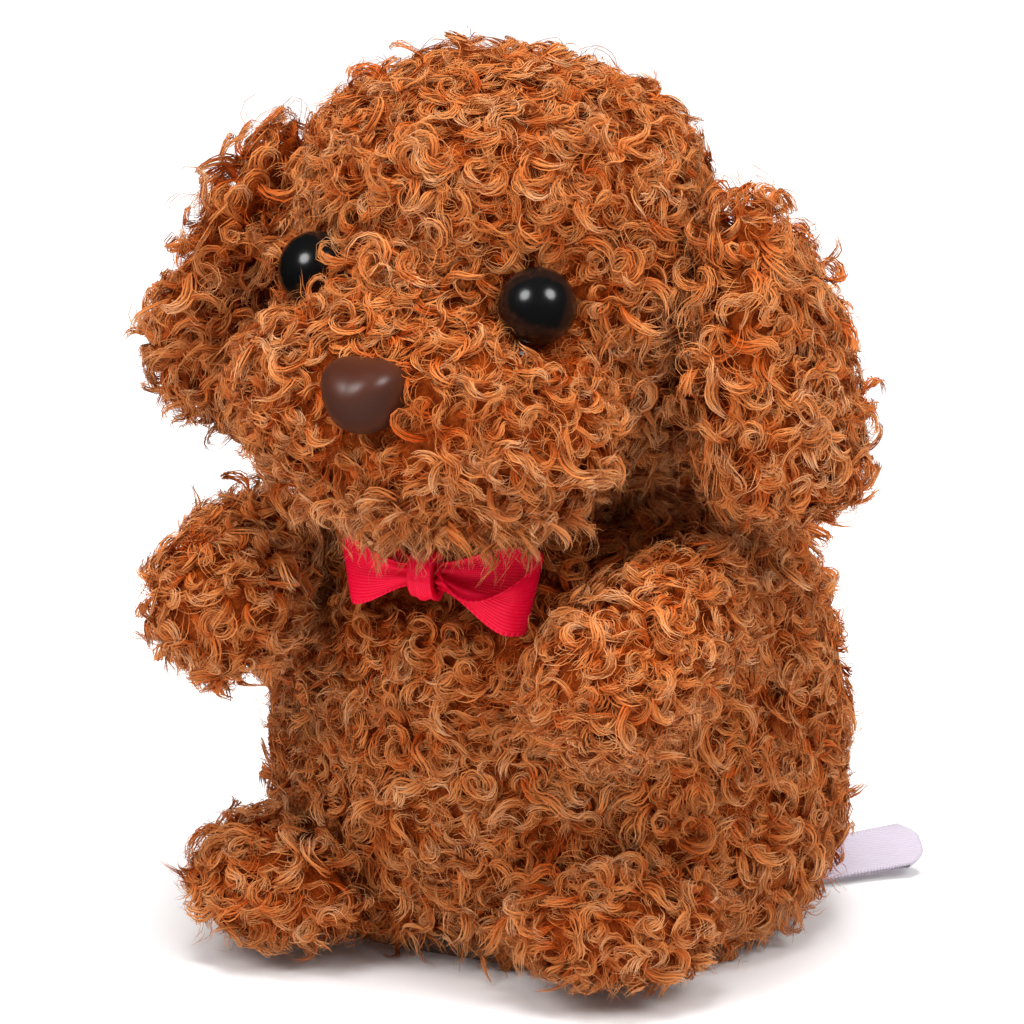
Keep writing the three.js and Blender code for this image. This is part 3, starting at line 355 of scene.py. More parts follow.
def satin_finish(name, dark, bright, ribs_per_metre, width, **sockets):
    """Woven satin: fine ribs along the tape and a stitched edge, read from its UV map in metres."""
    satin = Finish(name, **sockets)
    along = satin.node("UVMap", uv_map="Cloth").outputs[0]
    parts = satin.node("SeparateXYZ", {0: along}).outputs
    turn = 2 * math.pi * ribs_per_metre
    slant = satin.math("MULTIPLY_ADD", parts[0], 0.08, parts[1])
    ribs = satin.math("SINE", satin.math("MULTIPLY", slant, turn))
    picks = satin.math("SINE", satin.math("MULTIPLY", parts[0], turn * 1.9))
    weave = satin.math("MULTIPLY_ADD", picks, 0.35, ribs)
    to_middle = satin.math("ABSOLUTE", satin.math("SUBTRACT", parts[1], width / 2))
    edge = satin.math("GREATER_THAN", to_middle, width / 2 - 0.7 * MM)
    dashes = satin.math("SINE", satin.math("MULTIPLY", parts[0], turn * 0.62))
    stitches = satin.math("SUBTRACT", satin.math("MULTIPLY", dashes, 1.6), weave)
    stitched = satin.math("MULTIPLY", edge, stitches)
    relief = satin.math("ADD", weave, stitched)
    shade = satin.math("MULTIPLY_ADD", satin.noise(satin.place(), 160.0), 0.3, 0.35)
    shade = satin.math("MULTIPLY_ADD", relief, 0.16, shade)
    satin.feed("Base Color", satin.ramp(shade, ((0.15, dark), (0.85, bright))))
    satin.bump(relief, 0.5, 0.07 * MM)
    return satin.material


def moulded_finish(name, colour, grain, depth, variation=0.12, **sockets):
    """Moulded plastic, metal or rubber with a fine surface grain and a slight change of tone."""
    moulded = Finish(name, **sockets)
    tone = moulded.noise(moulded.place(), grain * 0.12)
    low = tuple(c * (1 - variation) for c in colour)
    high = tuple(min(1.0, c * (1 + variation)) for c in colour)
    moulded.feed("Base Color", moulded.ramp(tone, ((0.3, low), (0.7, high))))
    rough = sockets.get("Roughness", 0.5)
    wear = moulded.noise(moulded.place(), grain * 0.3)
    moulded.feed("Roughness", moulded.math("MULTIPLY_ADD", wear, 0.16, rough - 0.08))
    moulded.bump(moulded.noise(moulded.place(), grain), 0.3, depth)
    return moulded.material


def record_colour(slot):
    """The colour the record gives a slot."""
    return next(tuple(m["base_color"]) for m in frame["record"]["materials"] if m["slot"] == slot)


def make_finishes():
    """Every material by its slot."""
    made = {"plush_fur": fur_finish()}
    made["bow_satin"] = satin_finish(
        "bow_satin", dark=(0.72, 0.0, 0.012), bright=(1.0, 0.005, 0.058), ribs_per_metre=1650,
        width=RIBBON_WIDTH, Roughness=0.40, Specular_IOR_Level=0.5, Specular_Tint=(1.0, 0.30, 0.42, 1),
    )
    made["label_satin"] = satin_finish(
        "label_satin", dark=(0.50, 0.44, 0.54), bright=(0.66, 0.60, 0.69), ribs_per_metre=2400,
        width=LABEL_WIDTH, Roughness=0.35, Specular_IOR_Level=0.5, Sheen_Weight=0.1,
    )
    # The other slots: how fine the grain is, its depth in millimetres, and the shader's sockets.
    settings = {
        "stuffing": (900, 1.2, {"Roughness": 0.95, "Sheen_Weight": 0.3}),
        "eye_plastic": (220, 0.003, {"Roughness": 0.21, "Specular_IOR_Level": 0.6}),
        "nose_plastic": (900, 0.02, {"Roughness": 0.35, "Specular_IOR_Level": 0.5}),
        "white_plastic": (1800, 0.03, {"Roughness": 0.5}),
        "casing_plastic": (3200, 0.08, {"Roughness": 0.55}),
        "steel": (2600, 0.02, {"Roughness": 0.3, "Metallic": 1.0}),
        "cell_wrap": (400, 0.02, {"Roughness": 0.3, "Coat_Weight": 0.4}),
        "black_plastic": (2400, 0.04, {"Roughness": 0.5}),
        "speaker_paper": (1400, 0.12, {"Roughness": 0.85}),
        "brass": (2600, 0.02, {"Roughness": 0.28, "Metallic": 1.0}),
        "board_green": (1200, 0.03, {"Roughness": 0.4, "Coat_Weight": 0.3}),
        "gear_plastic": (1500, 0.02, {"Roughness": 0.45}),
        "belt_rubber": (2600, 0.05, {"Roughness": 0.75}),
    }
    for slot, (grain, depth, sockets) in settings.items():
        colour = NOSE_COLOUR if slot == "nose_plastic" else record_colour(slot)
        made[slot] = moulded_finish(slot, colour, grain, depth * MM, **sockets)
    return made


def wear(obj, material):
    """Gives an object one material in place of those it has."""
    obj.data.materials.clear()
    obj.data.materials.append(material)
    return obj


finishes = make_finishes()
backing = backing_finish()
for part in frame["record"]["subparts"]:
    wear(frame["nodes"][part["node"]], finishes[part["material_slot"]])

# ---------------------------------------------------------------- camera


def make_camera():
    """The camera: a long lens from the toy's front left, a little above."""
    right = Vector((math.cos(CAMERA_AZIMUTH), math.sin(CAMERA_AZIMUTH), 0))
    level = math.cos(CAMERA_ELEVATION)
    back_x = math.sin(CAMERA_AZIMUTH) * level
    back_y = -math.cos(CAMERA_AZIMUTH) * level
    back = Vector((back_x, back_y, math.sin(CAMERA_ELEVATION)))
    data = bpy.data.cameras.new("camera")
    data.lens = CAMERA_LENS
    data.sensor_width = CAMERA_SENSOR
    data.clip_start = 0.01
    camera = link(bpy.data.objects.new("camera", data))
    target = right * CAMERA_ASIDE + Vector((0, AXIS_Y, CAMERA_HEIGHT))
    camera.location = target + back * CAMERA_DISTANCE
    camera.rotation_mode = "QUATERNION"
    camera.rotation_quaternion = (-back).to_track_quat("-Z", "Y")
    bpy.context.scene.camera = camera


make_camera()

# ---------------------------------------------------------------- plush forms


def box_faces(centre, size):
    """A box's corners and faces."""
    half = Vector(size) / 2
    corners = [
        Vector((x * half.x, y * half.y, z * half.z)) + Vector(centre)
        for x in (-1, 1) for y in (-1, 1) for z in (-1, 1)
    ]
    faces = [(0, 1, 3, 2), (4, 6, 7, 5), (0, 4, 5, 1), (2, 3, 7, 6), (0, 2, 6, 4), (1, 5, 7, 3)]
    return corners, faces


def frame_tree(node, seals):
    """A ray tree of a frame node, with boxes that close the openings where the inside would show."""
    mesh = frame["nodes"][node].data
    faces = [tuple(p.vertices) for p in mesh.polygons]
    points = [v.co.copy() for v in mesh.vertices]
    for corners, sides in (box_faces(*seal) for seal in seals):
        faces.extend(tuple(len(points) + i for i in side) for side in sides)
        points.extend(corners)
    return BVHTree.FromPolygons(points, faces)


def plush_form(name, node, pile, seals=()):
    """The cloth of one plush part: the frame's outer surface moved in by pile, smooth and without holes."""
    tree = frame_tree(node, seals)
    low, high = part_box(node)
    centre, far = (low + high) / 2, (high - low).length
    ball = bmesh.new()
    bmesh.ops.create_icosphere(ball, subdivisions=RAY_DIVISIONS, radius=1)
    for vertex in ball.verts:
        way = vertex.co.normalized()
        hit = tree.ray_cast(centre + way * far, -way)[0]
        vertex.co = centre if hit is None else hit
    form = link(bpy.data.objects.new(name, bpy.data.meshes.new(name)))
    ball.to_mesh(form.data)
    ball.free()
    for move in (-pile, 0):
        add_modifier(form, "REMESH", mode="VOXEL", voxel_size=SKIN_VOXEL)
        add_modifier(form, "SMOOTH", factor=0.5, iterations=SKIN_SMOOTHING)
        add_modifier(form, "DISPLACE", strength=move, mid_level=0)
    apply_modifiers(form)
    form.data.polygons.foreach_set("use_smooth", np.full(len(form.data.polygons), True))
    return wear(form, backing)


# ---------------------------------------------------------------- curly pile


def tree_of(points):
    """A search tree of points."""
    tree = KDTree(len(points))
    for i, p in enumerate(points):
        tree.insert(p, i)
    tree.balance()
    return tree


def spread(points, gap, rng):
    """Numbers of points picked in a random order so that no two are nearer than gap."""
    tree = tree_of(points)
    free = np.ones(len(points), bool)
    kept = []
    for i in rng.permutation(len(points)):
        if free[i]:
            kept.append(i)
            for _, j, _ in tree.find_range(points[i], gap):
                free[j] = False
    return np.array(kept, int)


def tufted(points, gap, rng):
    """How deep each point is in its tuft, from 0 at the tuft's middle to 1 at its edge."""
    tree = tree_of(points[spread(points, gap, rng)])
    far = np.array([tree.find(p)[2] for p in points])
    return np.clip(far / (gap * 0.62), 0, 1)


def surface_frame(normals, rng):
    """Two directions along the surface at each root, the first nearly straight down."""
    first = unit(np.cross(normals, np.cross(-UP, normals)) + 0.02 * rng.normal(size=normals.shape))
    first = unit(first - normals * (first * normals).sum(1, keepdims=True))
    return first, np.cross(normals, first)


def headings(rng, s, length):
    """Which way each lock runs along the surface: a C, an S or a hook that curls to one side."""
    count = len(length)
    start = rng.normal(0, 1.5, count)[:, None]
    radius = rng.uniform(*CURL_RADIUS, count)[:, None]
    side = rng.choice((-1.0, 1.0), count)[:, None]
    turn = side * length[:, None] / radius
    kind = rng.random(count)[:, None]
    curve = np.where(kind < 0.5, s, np.where(kind < 0.72, 0.5 - np.abs(s - 0.5), s * s * 1.15))
    return start + turn * curve


def pitches(rng, s, rise, loose):
    """How steeply each lock stands off the surface: it rises from its root, leans over and waves."""
    count = len(rise)
    over = np.clip(s / rng.uniform(0.35, 0.6, count)[:, None], 0, 1)
    pitch = np.radians(rise)[:, None] * (1 - over)
    height = rng.uniform(0.12, 0.42, count)[:, None]
    waves = s * rng.uniform(0.8, 1.6, count)[:, None] + rng.random(count)[:, None]
    wave = height * np.sin(2 * math.pi * waves)
    dip = rng.normal(-0.30, 0.45, count)[:, None] * ease((s - 0.55) / 0.45)
    return pitch + wave * over + dip + np.radians(loose)[:, None] * over


def centrelines(roots, normals, rng, length, rise, loose, droop):
    """Each lock's centreline, as locks x points x 3, with its direction at every point.

    Its free end hangs a little, by droop."""
    count = len(roots)
    s = np.linspace(0, 1, LOCK_POINTS)[None, :]
    first, second = surface_frame(normals, rng)
    heading = headings(rng, s, length)
    pitch = pitches(rng, s, rise, loose)
    flat = np.cos(pitch)[..., None]
    direction = (
        flat * np.cos(heading)[..., None] * first[:, None]
        + flat * np.sin(heading)[..., None] * second[:, None]
        + np.sin(pitch)[..., None] * normals[:, None]
    )
    direction[..., 2] -= droop[:, None] * ease(s)
    direction = unit(direction)
    step = (length / (LOCK_POINTS - 1))[:, None, None]
    steps = np.concatenate([np.zeros((count, 1, 3)), direction[:, :-1] * step], axis=1)
    return roots[:, None] + np.cumsum(steps, axis=1), direction


def rolled_frame(directions, normals, rng):
    """Directions across and above each lock, rolled at random and more so towards its tip."""
    count, steps = directions.shape[:2]
    s = np.linspace(0, 1, steps)
    side = unit(np.cross(directions, normals[:, None] + 1e-4))
    up = np.cross(side, directions)
    roll = rng.normal(0, 0.55, count)[:, None] + rng.normal(0, 0.6, count)[:, None] * s
    roll = roll[..., None]
    return side * np.cos(roll) + up * np.sin(roll), up * np.cos(roll) - side * np.sin(roll)


def along_strands(values, reach):
    """A lock's values at the places that its strands reach, as locks x strands x points x 3."""
    below = np.minimum(reach.astype(int), values.shape[1] - 2)
    share = (reach - below)[..., None]
    rows = np.arange(len(values))[:, None, None]
    return values[rows, below] * (1 - share) + values[rows, below + 1] * share


def strays(rng, s, count, number):
    """How far each strand wanders off its lock and fans out at its tip."""
    phase = rng.random((count, number, 1)) * 2 * math.pi
    wander = STRAY * np.where(rng.random((count, number, 1)) < 0.12, 3.0, 1.0)
    fan = FAN * rng.normal(size=(count, number, 1)) * s**2
    return (wander * np.sin(2 * math.pi * s * 1.4 + phase) + fan)[..., None]


def strand_edges(rng, s, spot, side, up, ahead, strand_width):
    """From the middle of each strand to its edge: tilted round the lock, and tapered."""
    count, number = spot.shape
    tilt = -0.75 * spot + rng.normal(0, 0.30, (count, number))
    tilt = (tilt[..., None] + rng.normal(0, 0.35, (count, number, 1)) * s)[..., None]
    edge = unit(side * np.cos(tilt) + up * np.sin(tilt))
    edge = unit(edge - ahead * (edge * ahead).sum(-1, keepdims=True))
    taper = np.minimum(1.0, 0.5 + 3 * s) * np.minimum(1.0, 3.2 * (1.02 - s))
    thick = strand_width[:, None, None] / 2 * taper
    return edge * thick[..., None]


def strands(paths, directions, normals, rng, width, number, strand_width):
    """Ribbons that share each lock's centreline side by side, as locks x strands x points x 2 edges x 3."""
    count, steps = paths.shape[:2]
    s = np.linspace(0, 1, steps)
    side, up = rolled_frame(directions, normals, rng)
    spot = (np.arange(number) + 0.5) / number * 2 - 1
    spot = spot[None, :] + rng.normal(0, 0.12, (count, number))
    reach = rng.uniform(0.70, 1.0, (count, number))[..., None] * s * (steps - 1)
    centre, side, up, ahead = (along_strands(v, reach) for v in (paths, side, up, directions))
    swell = 0.30 + 0.70 * ease(s / 0.45) * (1 - 0.65 * ease((s - 0.5) / 0.5))
    half = (width[:, None, None] / 2 * swell)[..., None]
    stray = strays(rng, s, count, number)
    depth = rng.uniform(-0.55, 0.15, (count, number))[..., None, None]
    across = spot[..., None, None]
    bulge = (depth - 0.42 * across**2) * half
    centre = centre + side * (across * half + stray) + up * (bulge + 0.6 * stray)
    edge = strand_edges(rng, s, spot, side, up, ahead, strand_width)
    ribbons = np.stack([centre - edge, centre + edge], axis=3)
    under = np.minimum(ribbons[..., 2] - GROUND, 0)
    ribbons[..., 2] -= under * 0.97
    return ribbons


def bake_places(total, edge, s):
    """Every vertex's place on the bake's map, where each strand has a tall cell of its own."""
    rows = max(1, int(math.sqrt(total / 4)))
    columns = math.ceil(total / rows)
    cell = np.arange(total)[:, None, None]
    across = (cell % columns + 0.12 + 0.76 * edge) / columns
    up = (cell // columns + 0.06 + 0.88 * s) / rows
    return np.stack([across, up], axis=-1).reshape(-1, 2)


def fur_piece(name, ribbons, tone):
    """One mesh of all the ribbons, with the fibre attribute and the map that a bake uses.

    The attribute holds a strand's number plus the place across it, the place along it, and the lock's tone
    with its painted shade."""
    count, number, steps = ribbons.shape[:3]
    total = count * number
    shape = (total, steps, 2)
    first = (np.arange(total) * steps * 2)[:, None] + np.arange(steps - 1)[None, :] * 2
    quads = np.stack([first, first + 1, first + 3, first + 2], axis=-1).reshape(-1, 4)
    mesh = quad_mesh(name, ribbons.reshape(-1, 3), quads)
    s = np.broadcast_to(np.linspace(0, 1, steps)[None, :, None], shape)
    edge = np.broadcast_to(np.array(EDGE_PLACES)[None, None, :], shape)
    strand = np.broadcast_to((np.arange(total) % STRAND_NUMBERS)[:, None, None], shape)
    # The lock's tone, which carries the painted shade, for every vertex of its strands.
    lock = np.broadcast_to(np.repeat(tone, number)[:, None, None], shape)
    fibre = np.stack([strand + edge, s, lock], axis=-1).astype(np.float32)
    attribute = mesh.attributes.new("fibre", "FLOAT_VECTOR", "POINT")
    attribute.data.foreach_set("vector", fibre.ravel())
    uv = bake_places(total, edge, s)
    layer = mesh.uv_layers.new(name="OFBake")
    layer.data.foreach_set("uv", uv[quads.ravel()].astype(np.float32).ravel())
    piece = link(bpy.data.objects.new(name, mesh))
    return wear(piece, finishes["plush_fur"])


def kept_clear(points, hollows):
    """How far each point is outside the nearest of the balls that the pile keeps clear of."""
    room = np.full(len(points), 1.0)
    for centre, radius in hollows:
        room = np.minimum(room, np.linalg.norm(points - np.array(centre), axis=1) - radius)
    return room


def pile_at(points, normals, deep, room, hang, fluff):
    """What the pile is like at each point, by name: shorter near a hollow or the ground."""
    hanging = np.zeros(len(points)) if hang is None else hang(points)
    low = np.maximum(np.clip(points[:, 2] / LOW_PILE, 0.45, 1), 0.8 * hanging)
    return {
        "points": points,
        "normals": normals,
        "deep": deep,
        "room": room,
        "hanging": hanging,
        "short": np.clip(room / CLEARING, 0.35, 1) * low,
        "fluffy": np.zeros(len(points)) if fluff is None else fluff(points),
    }


def grow_kind(kind, at, rng):
    """The ribbons of the locks or the loose fibres at some roots, and each lock's tone: random, darkened by
    painted shade at a tuft's edge and near the hollows.
    """
    count = len(at["points"])
    n = at["normals"]
    jitter = rng.normal(0, ROOT_JITTER, (count, 3))
    roots = at["points"] + jitter - n * ((jitter * n).sum(1, keepdims=True) + ROOT_DEPTH)
    length = rng.uniform(*LOCK_LENGTH, count) * at["short"] * (1 + 0.35 * at["hanging"])
    length = length * (1 + 0.5 * at["fluffy"])
    rise = rng.uniform(*RISE_DEGREES, count) * (1 - 0.45 * at["deep"] ** 2) * (1 + 0.3 * at["fluffy"])
    loose = np.where(rng.random(count) < LOOSE_SHARE, rng.uniform(*LOOSE_DEGREES, count), 0)
    if kind == "fibres":
        loose = rng.uniform(*FIBRE_DEGREES, count)
    droop = LOCK_DROOP + HANGING_DROOP * at["hanging"]
    paths, directions = centrelines(roots, n, rng, length, rise, loose, droop)
    if kind == "locks":
        number = LOCK_STRANDS
        width = rng.uniform(*LOCK_WIDTH_RANGE, count) * LOCK_WIDTH * np.sqrt(at["short"])
        strand_width = width / LOCK_STRANDS * 2.0
    else:
        number = FIBRE_STRANDS
        width = np.full(count, FIBRE_SPREAD)
        strand_width = np.full(count, FIBRE_WIDTH)
    ribbons = strands(paths, directions, n, rng, width, number, strand_width)
    # Painted shade: locks at a tuft's edge and near the eyes, nose, bow, arms and feet get a darker tone,
    # where shade falls.
    painted_shade = 0.35 * at["deep"] ** 2 + 0.4 * (1 - np.clip(at["room"] / PAINTED_SHADE_REACH, 0, 1))
    return ribbons, np.clip(0.4 + 0.6 * rng.random(count) - painted_shade, 0, 1)


def grow_fur(name, skin, body, rng, hollows=(), hidden=None, hang=None, fluff=None):
    """The locks and loose fibres on one skin.

    They are left out where hidden says, hang more where hang says, and are longer and stand up more
    where fluff says."""
    points, normals = points_of(skin.data), normals_of(skin.data)
    deep = tufted(points, TUFT_GAP, rng)
    room = kept_clear(points, hollows)
    usable = room > 0
    if hidden is not None:
        usable &= ~hidden(points)
    kept = np.flatnonzero(usable)
    pile = pile_at(points[kept], normals[kept], deep[kept], room[kept], hang, fluff)
    for kind, gap in (("locks", LOCK_GAP), ("fibres", FIBRE_GAP)):
        pick = spread(pile["points"], gap, rng)
        ribbons, tone = grow_kind(kind, {key: values[pick] for key, values in pile.items()}, rng)
        piece = fur_piece(f"{name}_{kind}", ribbons, tone)
        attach(piece, body)


# ---------------------------------------------------------------- shaping the cloth


def press_back(form, centre, radius, outward):
    """Presses the cloth round an eye back by up to PRESS, so that more of the eye shows."""
    points = points_of(form.data)
    away = points - np.array(centre)
    ahead = away @ np.array(outward)
    aside = np.linalg.norm(away - ahead[:, None] * np.array(outward), axis=1)
    pressed = ease((1.5 - aside / radius) / 0.4) * (np.abs(ahead) < 2.5 * radius)
    points -= (np.clip(ahead + 0.8 * MM, 0, PRESS) * pressed)[:, None] * np.array(outward)
    set_points(form, points)


def puff_out(form, centre, radius, amount):
    """Raises the cloth round a point."""
    points = points_of(form.data)
    near = np.exp(-((np.linalg.norm(points - np.array(centre), axis=1) / radius) ** 2))
    points += normals_of(form.data) * (amount * near)[:, None]
    set_points(form, points)


def shape_ear(form, node, widths):
    """Widens or narrows an ear from its inner side, by its widths at some heights."""
    points = points_of(form.data)
    inner = min(abs(corner.x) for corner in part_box(node))
    heights, factors = np.array(widths).T
    factor = np.interp(points[:, 2], heights * MM, factors)
    aside = np.sign(points[:, 0])
    points[:, 0] = aside * (inner + (np.abs(points[:, 0]) - inner) * factor)
    set_points(form, points)


# ---------------------------------------------------------------- places on the toy


def ball_of(node, radius):
    """A ball in the middle of a node."""
    low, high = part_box(node)
    return (low + high) / 2, radius


def dome(side):
    """An eye's centre, radius and outward direction, from the frame's faceted dome and its washer."""
    washer_low, washer_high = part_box(f"eye_washer_{side}")
    behind = np.array((washer_low + washer_high) / 2)
    points = points_of(frame["nodes"][f"eye_{side}"].data)
    far = np.linalg.norm(points - behind, axis=1)
    front = points[far > np.percentile(far, 60)]
    solved = np.linalg.lstsq(np.c_[2 * front, np.ones(len(front))], (front**2).sum(1), rcond=None)[0]
    centre = solved[:3]
    radius = math.sqrt(solved[3] + centre @ centre)
    return Vector(centre), radius, Vector(unit(centre - behind))


body_low, body_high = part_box("body_plush")
head_low, head_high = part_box("head_plush")
eyes = {side: dome(side) for side in SIDES}


def near_axis(points, radius):
    """Which points are nearer than radius to the body's axis."""
    return np.hypot(points[:, 0], points[:, 1] - AXIS_Y) < radius


def body_hidden(points):
    """Where the body has no pile: over the base, and under the head."""
    under = (points[:, 2] < body_low.z + 6 * MM) & near_axis(points, BASE_RADIUS)
    return under | ((points[:, 2] > body_high.z - 9 * MM) & near_axis(points, NECK_RADIUS))


def head_hidden(points):
    """Where the head has no pile: over the neck."""
    return (points[:, 2] < head_low.z + 8 * MM) & near_axis(points, NECK_RADIUS)


def limb_hidden(points):
    """Where a limb or the tail has no pile: inside the body."""
    return near_axis(points, LIMB_RADIUS)


def chin(points):
    """Where the head's pile hangs: low down, and more in front."""
    low = ease((head_low.z + 15 * MM - points[:, 2]) / (10 * MM))
    return low * (0.6 + 0.55 * ease((AXIS_Y - 30 * MM - points[:, 1]) / (12 * MM)))


def rim(points):
    """Where the body's pile hangs: low down in front, over the base's edge."""
    low = ease((body_low.z + 11 * MM - points[:, 2]) / (5 * MM))
    return low * ease((AXIS_Y - points[:, 1]) / (15 * MM))


def shoulders(points):
    """Where the body's pile is fluffy: round the neck."""
    return ease((points[:, 2] - body_high.z + 16 * MM) / (10 * MM))


def inner_side(points):
    """Where an ear's pile is fluffy: on the side towards the head."""
    ear_middle = abs(sum(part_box("ear_left"), Vector()).x) / 2
    return 1.5 * ease((ear_middle - np.abs(points[:, 0])) / (8 * MM))


def brow(points):
    """Where the head's pile is fluffy: between the eyes, and a little on top."""
    bridge = (eyes["left"][0] + eyes["right"][0]) / 2 + Vector((-6 * MM, -5 * MM, 0))
    between = np.linalg.norm(points - np.array(bridge), axis=1)
    top = ease((points[:, 2] - head_high.z + 16 * MM) / (14 * MM))
    return np.maximum(1.2 * np.exp(-((between / (10 * MM)) ** 2)), 0.35 * top)


def face_hollows():
    """The balls that the head's pile keeps clear of: the eyes and the nose."""
    low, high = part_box("nose")
    nose_middle = Vector((low.x + high.x, 2 * low.y + 8 * MM, low.z + high.z)) / 2
    inward = Vector((2.5 * MM, 0, 0))
    left_eye = (eyes["left"][0], eyes["left"][1])
    right_eye = (eyes["right"][0] - inward, eyes["right"][1])
    return [left_eye, right_eye, (nose_middle, 7.4 * MM)]


def chest_hollows():
    """The balls that the body's pile keeps clear of: the bow's loops, the arms and the feet."""
    bow_middle = sum(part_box("bow_ribbon"), Vector()) / 2
    balls = [(bow_middle + Vector((x, 5 * MM, 0)), 8.5 * MM) for x in (-9 * MM, 9 * MM)]
    for side in SIDES:
        balls += [ball_of(f"arm_{side}", 14 * MM), ball_of(f"foot_{side}", 12 * MM)]
    return balls


# ---------------------------------------------------------------- the plush parts


def shape_body(skin):
    """Fills out the body's left rear."""
    puff_out(skin, *BODY_PUFF)


def shape_head(skin):
    """Fills out the cheek beside the right eye, and clears both eyes."""
    place, radius, amount = RIGHT_EYE_PUFF
    puff_out(skin, eyes["right"][0] + place, radius, amount)
    for side in SIDES:
        press_back(skin, *eyes[side])


def make_padded(number, name, body, node, pile, seals=(), shape=None, **rules):
    """One plush part: its padded cloth form, and the pile on it."""
    rng = np.random.default_rng(SEED + number)
    skin = plush_form(f"{name}_skin", node, pile, seals)
    if shape is not None:
        shape(skin)
    grow_fur(f"{name}_fur", skin, body, rng, **rules)
    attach(skin, body)
    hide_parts(node)


def make_body(number):
    """The body, closed at the neck and over the base."""
    neck = ((0, AXIS_Y, body_high.z - 2 * MM), (48 * MM, 48 * MM, 2 * MM))
    base = ((0, AXIS_Y, body_low.z + 1 * MM), (74 * MM, 68 * MM, 2 * MM))
    make_padded(
        number, "body", "toy_body", "body_plush", DEEP_PILE, [neck, base], shape_body,
        hollows=chest_hollows(), hidden=body_hidden, hang=rim, fluff=shoulders,
    )


def make_head(number):
    """The head, closed at the neck."""
    collar = ((0, AXIS_Y, head_low.z + 2 * MM), (44 * MM, 44 * MM, 2 * MM))
    make_padded(
        number, "head", "head", "head_plush", DEEP_PILE, [collar], shape_head,
        hollows=face_hollows(), hidden=head_hidden, hang=chin, fluff=brow,
    )


def make_ear(number, side):
    """One ear, widened or narrowed by height."""
    name = f"ear_{side}"

    def shape(skin):
        shape_ear(skin, name, EAR_WIDTHS[name])

    make_padded(number, name, f"ear_{side[0]}", name, SHORT_PILE, shape=shape, fluff=inner_side)


def make_limb(number, name, body):
    """An arm, a foot or the tail."""
    make_padded(number, name, body, name, SHORT_PILE, hidden=limb_hidden)


def make_plush():
    """Every plush part. Its number sets its random draws."""
    make_body(0)
    make_head(1)
    make_limb(2, "tail", "toy_body")
    for side, number in zip(SIDES, (3, 6)):
        make_ear(number, side)
        make_limb(number + 1, f"arm_{side}", f"arm_{side[0]}")
        make_limb(number + 2, f"foot_{side}", "toy_body")


# ---------------------------------------------------------------- eyes and nose


def make_eye(side):
    """A polished dome with a rolled rim and its shank."""
    centre, radius, outward = eyes[side]
    turn = np.array(outward.to_track_quat("Z", "Y").to_matrix())
    arc = np.linspace(0.002, math.radians(100), 40)
    profile = [(radius * math.sin(a), radius * math.cos(a)) for a in arc]
    edge, low = profile[-1]
    profile.append((edge - 0.5 * MM, low - 0.5 * MM))
    profile.append((2 * MM, low - 0.6 * MM))
    profile.append((1.8 * MM, low - 5 * MM))
    angle = np.linspace(0, 2 * math.pi, EYE_SEGMENTS + 1)[:-1]
    rows = np.array([[(r * math.cos(a), r * math.sin(a), z) for r, z in profile] for a in angle])
    points = rows @ turn.T + np.array(centre)
    eye = grid_piece(f"eye_{side}_dome", points, closed=True)
    wear(eye, finishes["eye_plastic"])
    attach(eye, "head")
    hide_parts(f"eye_{side}")


def nose_ring(angle, half_width, half_height):
    """How far the nose reaches at one angle, across and up: wider above, and square at its corners."""
    x, z = math.cos(angle), math.sin(angle)
    width = half_width * (1 + 0.24 * z)
    height = half_height * (1.0 + 0.10 * abs(x) * (1 if z > 0 else -0.4))
    square = (abs(x) ** 2.5 + abs(z) ** 2.5) ** (-1 / 2.5)
    return width * x * square, height * z * square


def make_nose():
    """A rounded, upside-down triangle that stands proud of the muzzle."""
    low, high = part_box("nose")
    middle = (low + high) / 2
    half_width = (high.x - low.x) / 2
    half_height = (high.z - low.z) / 2
    arc = np.linspace(0.0005, math.radians(104), 34)
    rows = []
    for a in np.linspace(0, 2 * math.pi, NOSE_SEGMENTS + 1)[:-1]:
        across, up = nose_ring(a, half_width, half_height)
        x = middle.x + across * np.sin(arc)
        y = low.y + NOSE_DEPTH * (1 - np.cos(arc))
        z = middle.z + up * np.sin(arc)
        rows.append(np.stack([x, y, z], axis=-1))
    nose = grid_piece("nose_button", np.array(rows), closed=True)
    wear(nose, finishes["nose_plastic"])
    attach(nose, "head")
    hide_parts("nose")


# ---------------------------------------------------------------- bow and label


def cloth_map(obj, length, width, rows, columns):
    """The cloth's own map in metres, along its length and across it."""
    u = np.linspace(0, length, rows)[:, None] + np.zeros((1, columns))
    v = np.linspace(0, width, columns)[None, :] + np.zeros((rows, 1))
    uv = np.stack([u, v], axis=-1).reshape(-1, 2)
    loops = np.empty(len(obj.data.loops), np.int32)
    obj.data.loops.foreach_get("vertex_index", loops)
    layer = obj.data.uv_layers.new(name="Cloth")
    layer.data.foreach_set("uv", uv[loops].astype(np.float32).ravel())


def fold_place(t, straight, bend):
    """A place on a strip that goes out, round a bend and back, by t from 0 to 1.

    It is how far out the place is, which side it is on from -1 to 1, and how far round the bend it is."""
    along = (2 * straight + math.pi * bend) * t
    if along < straight:
        return along, -1.0, 0.0
    if along < straight + math.pi * bend:
        angle = (along - straight) / bend
        return straight + bend * math.sin(angle), -math.cos(angle), angle
    return 2 * straight + math.pi * bend - along, 1.0, math.pi


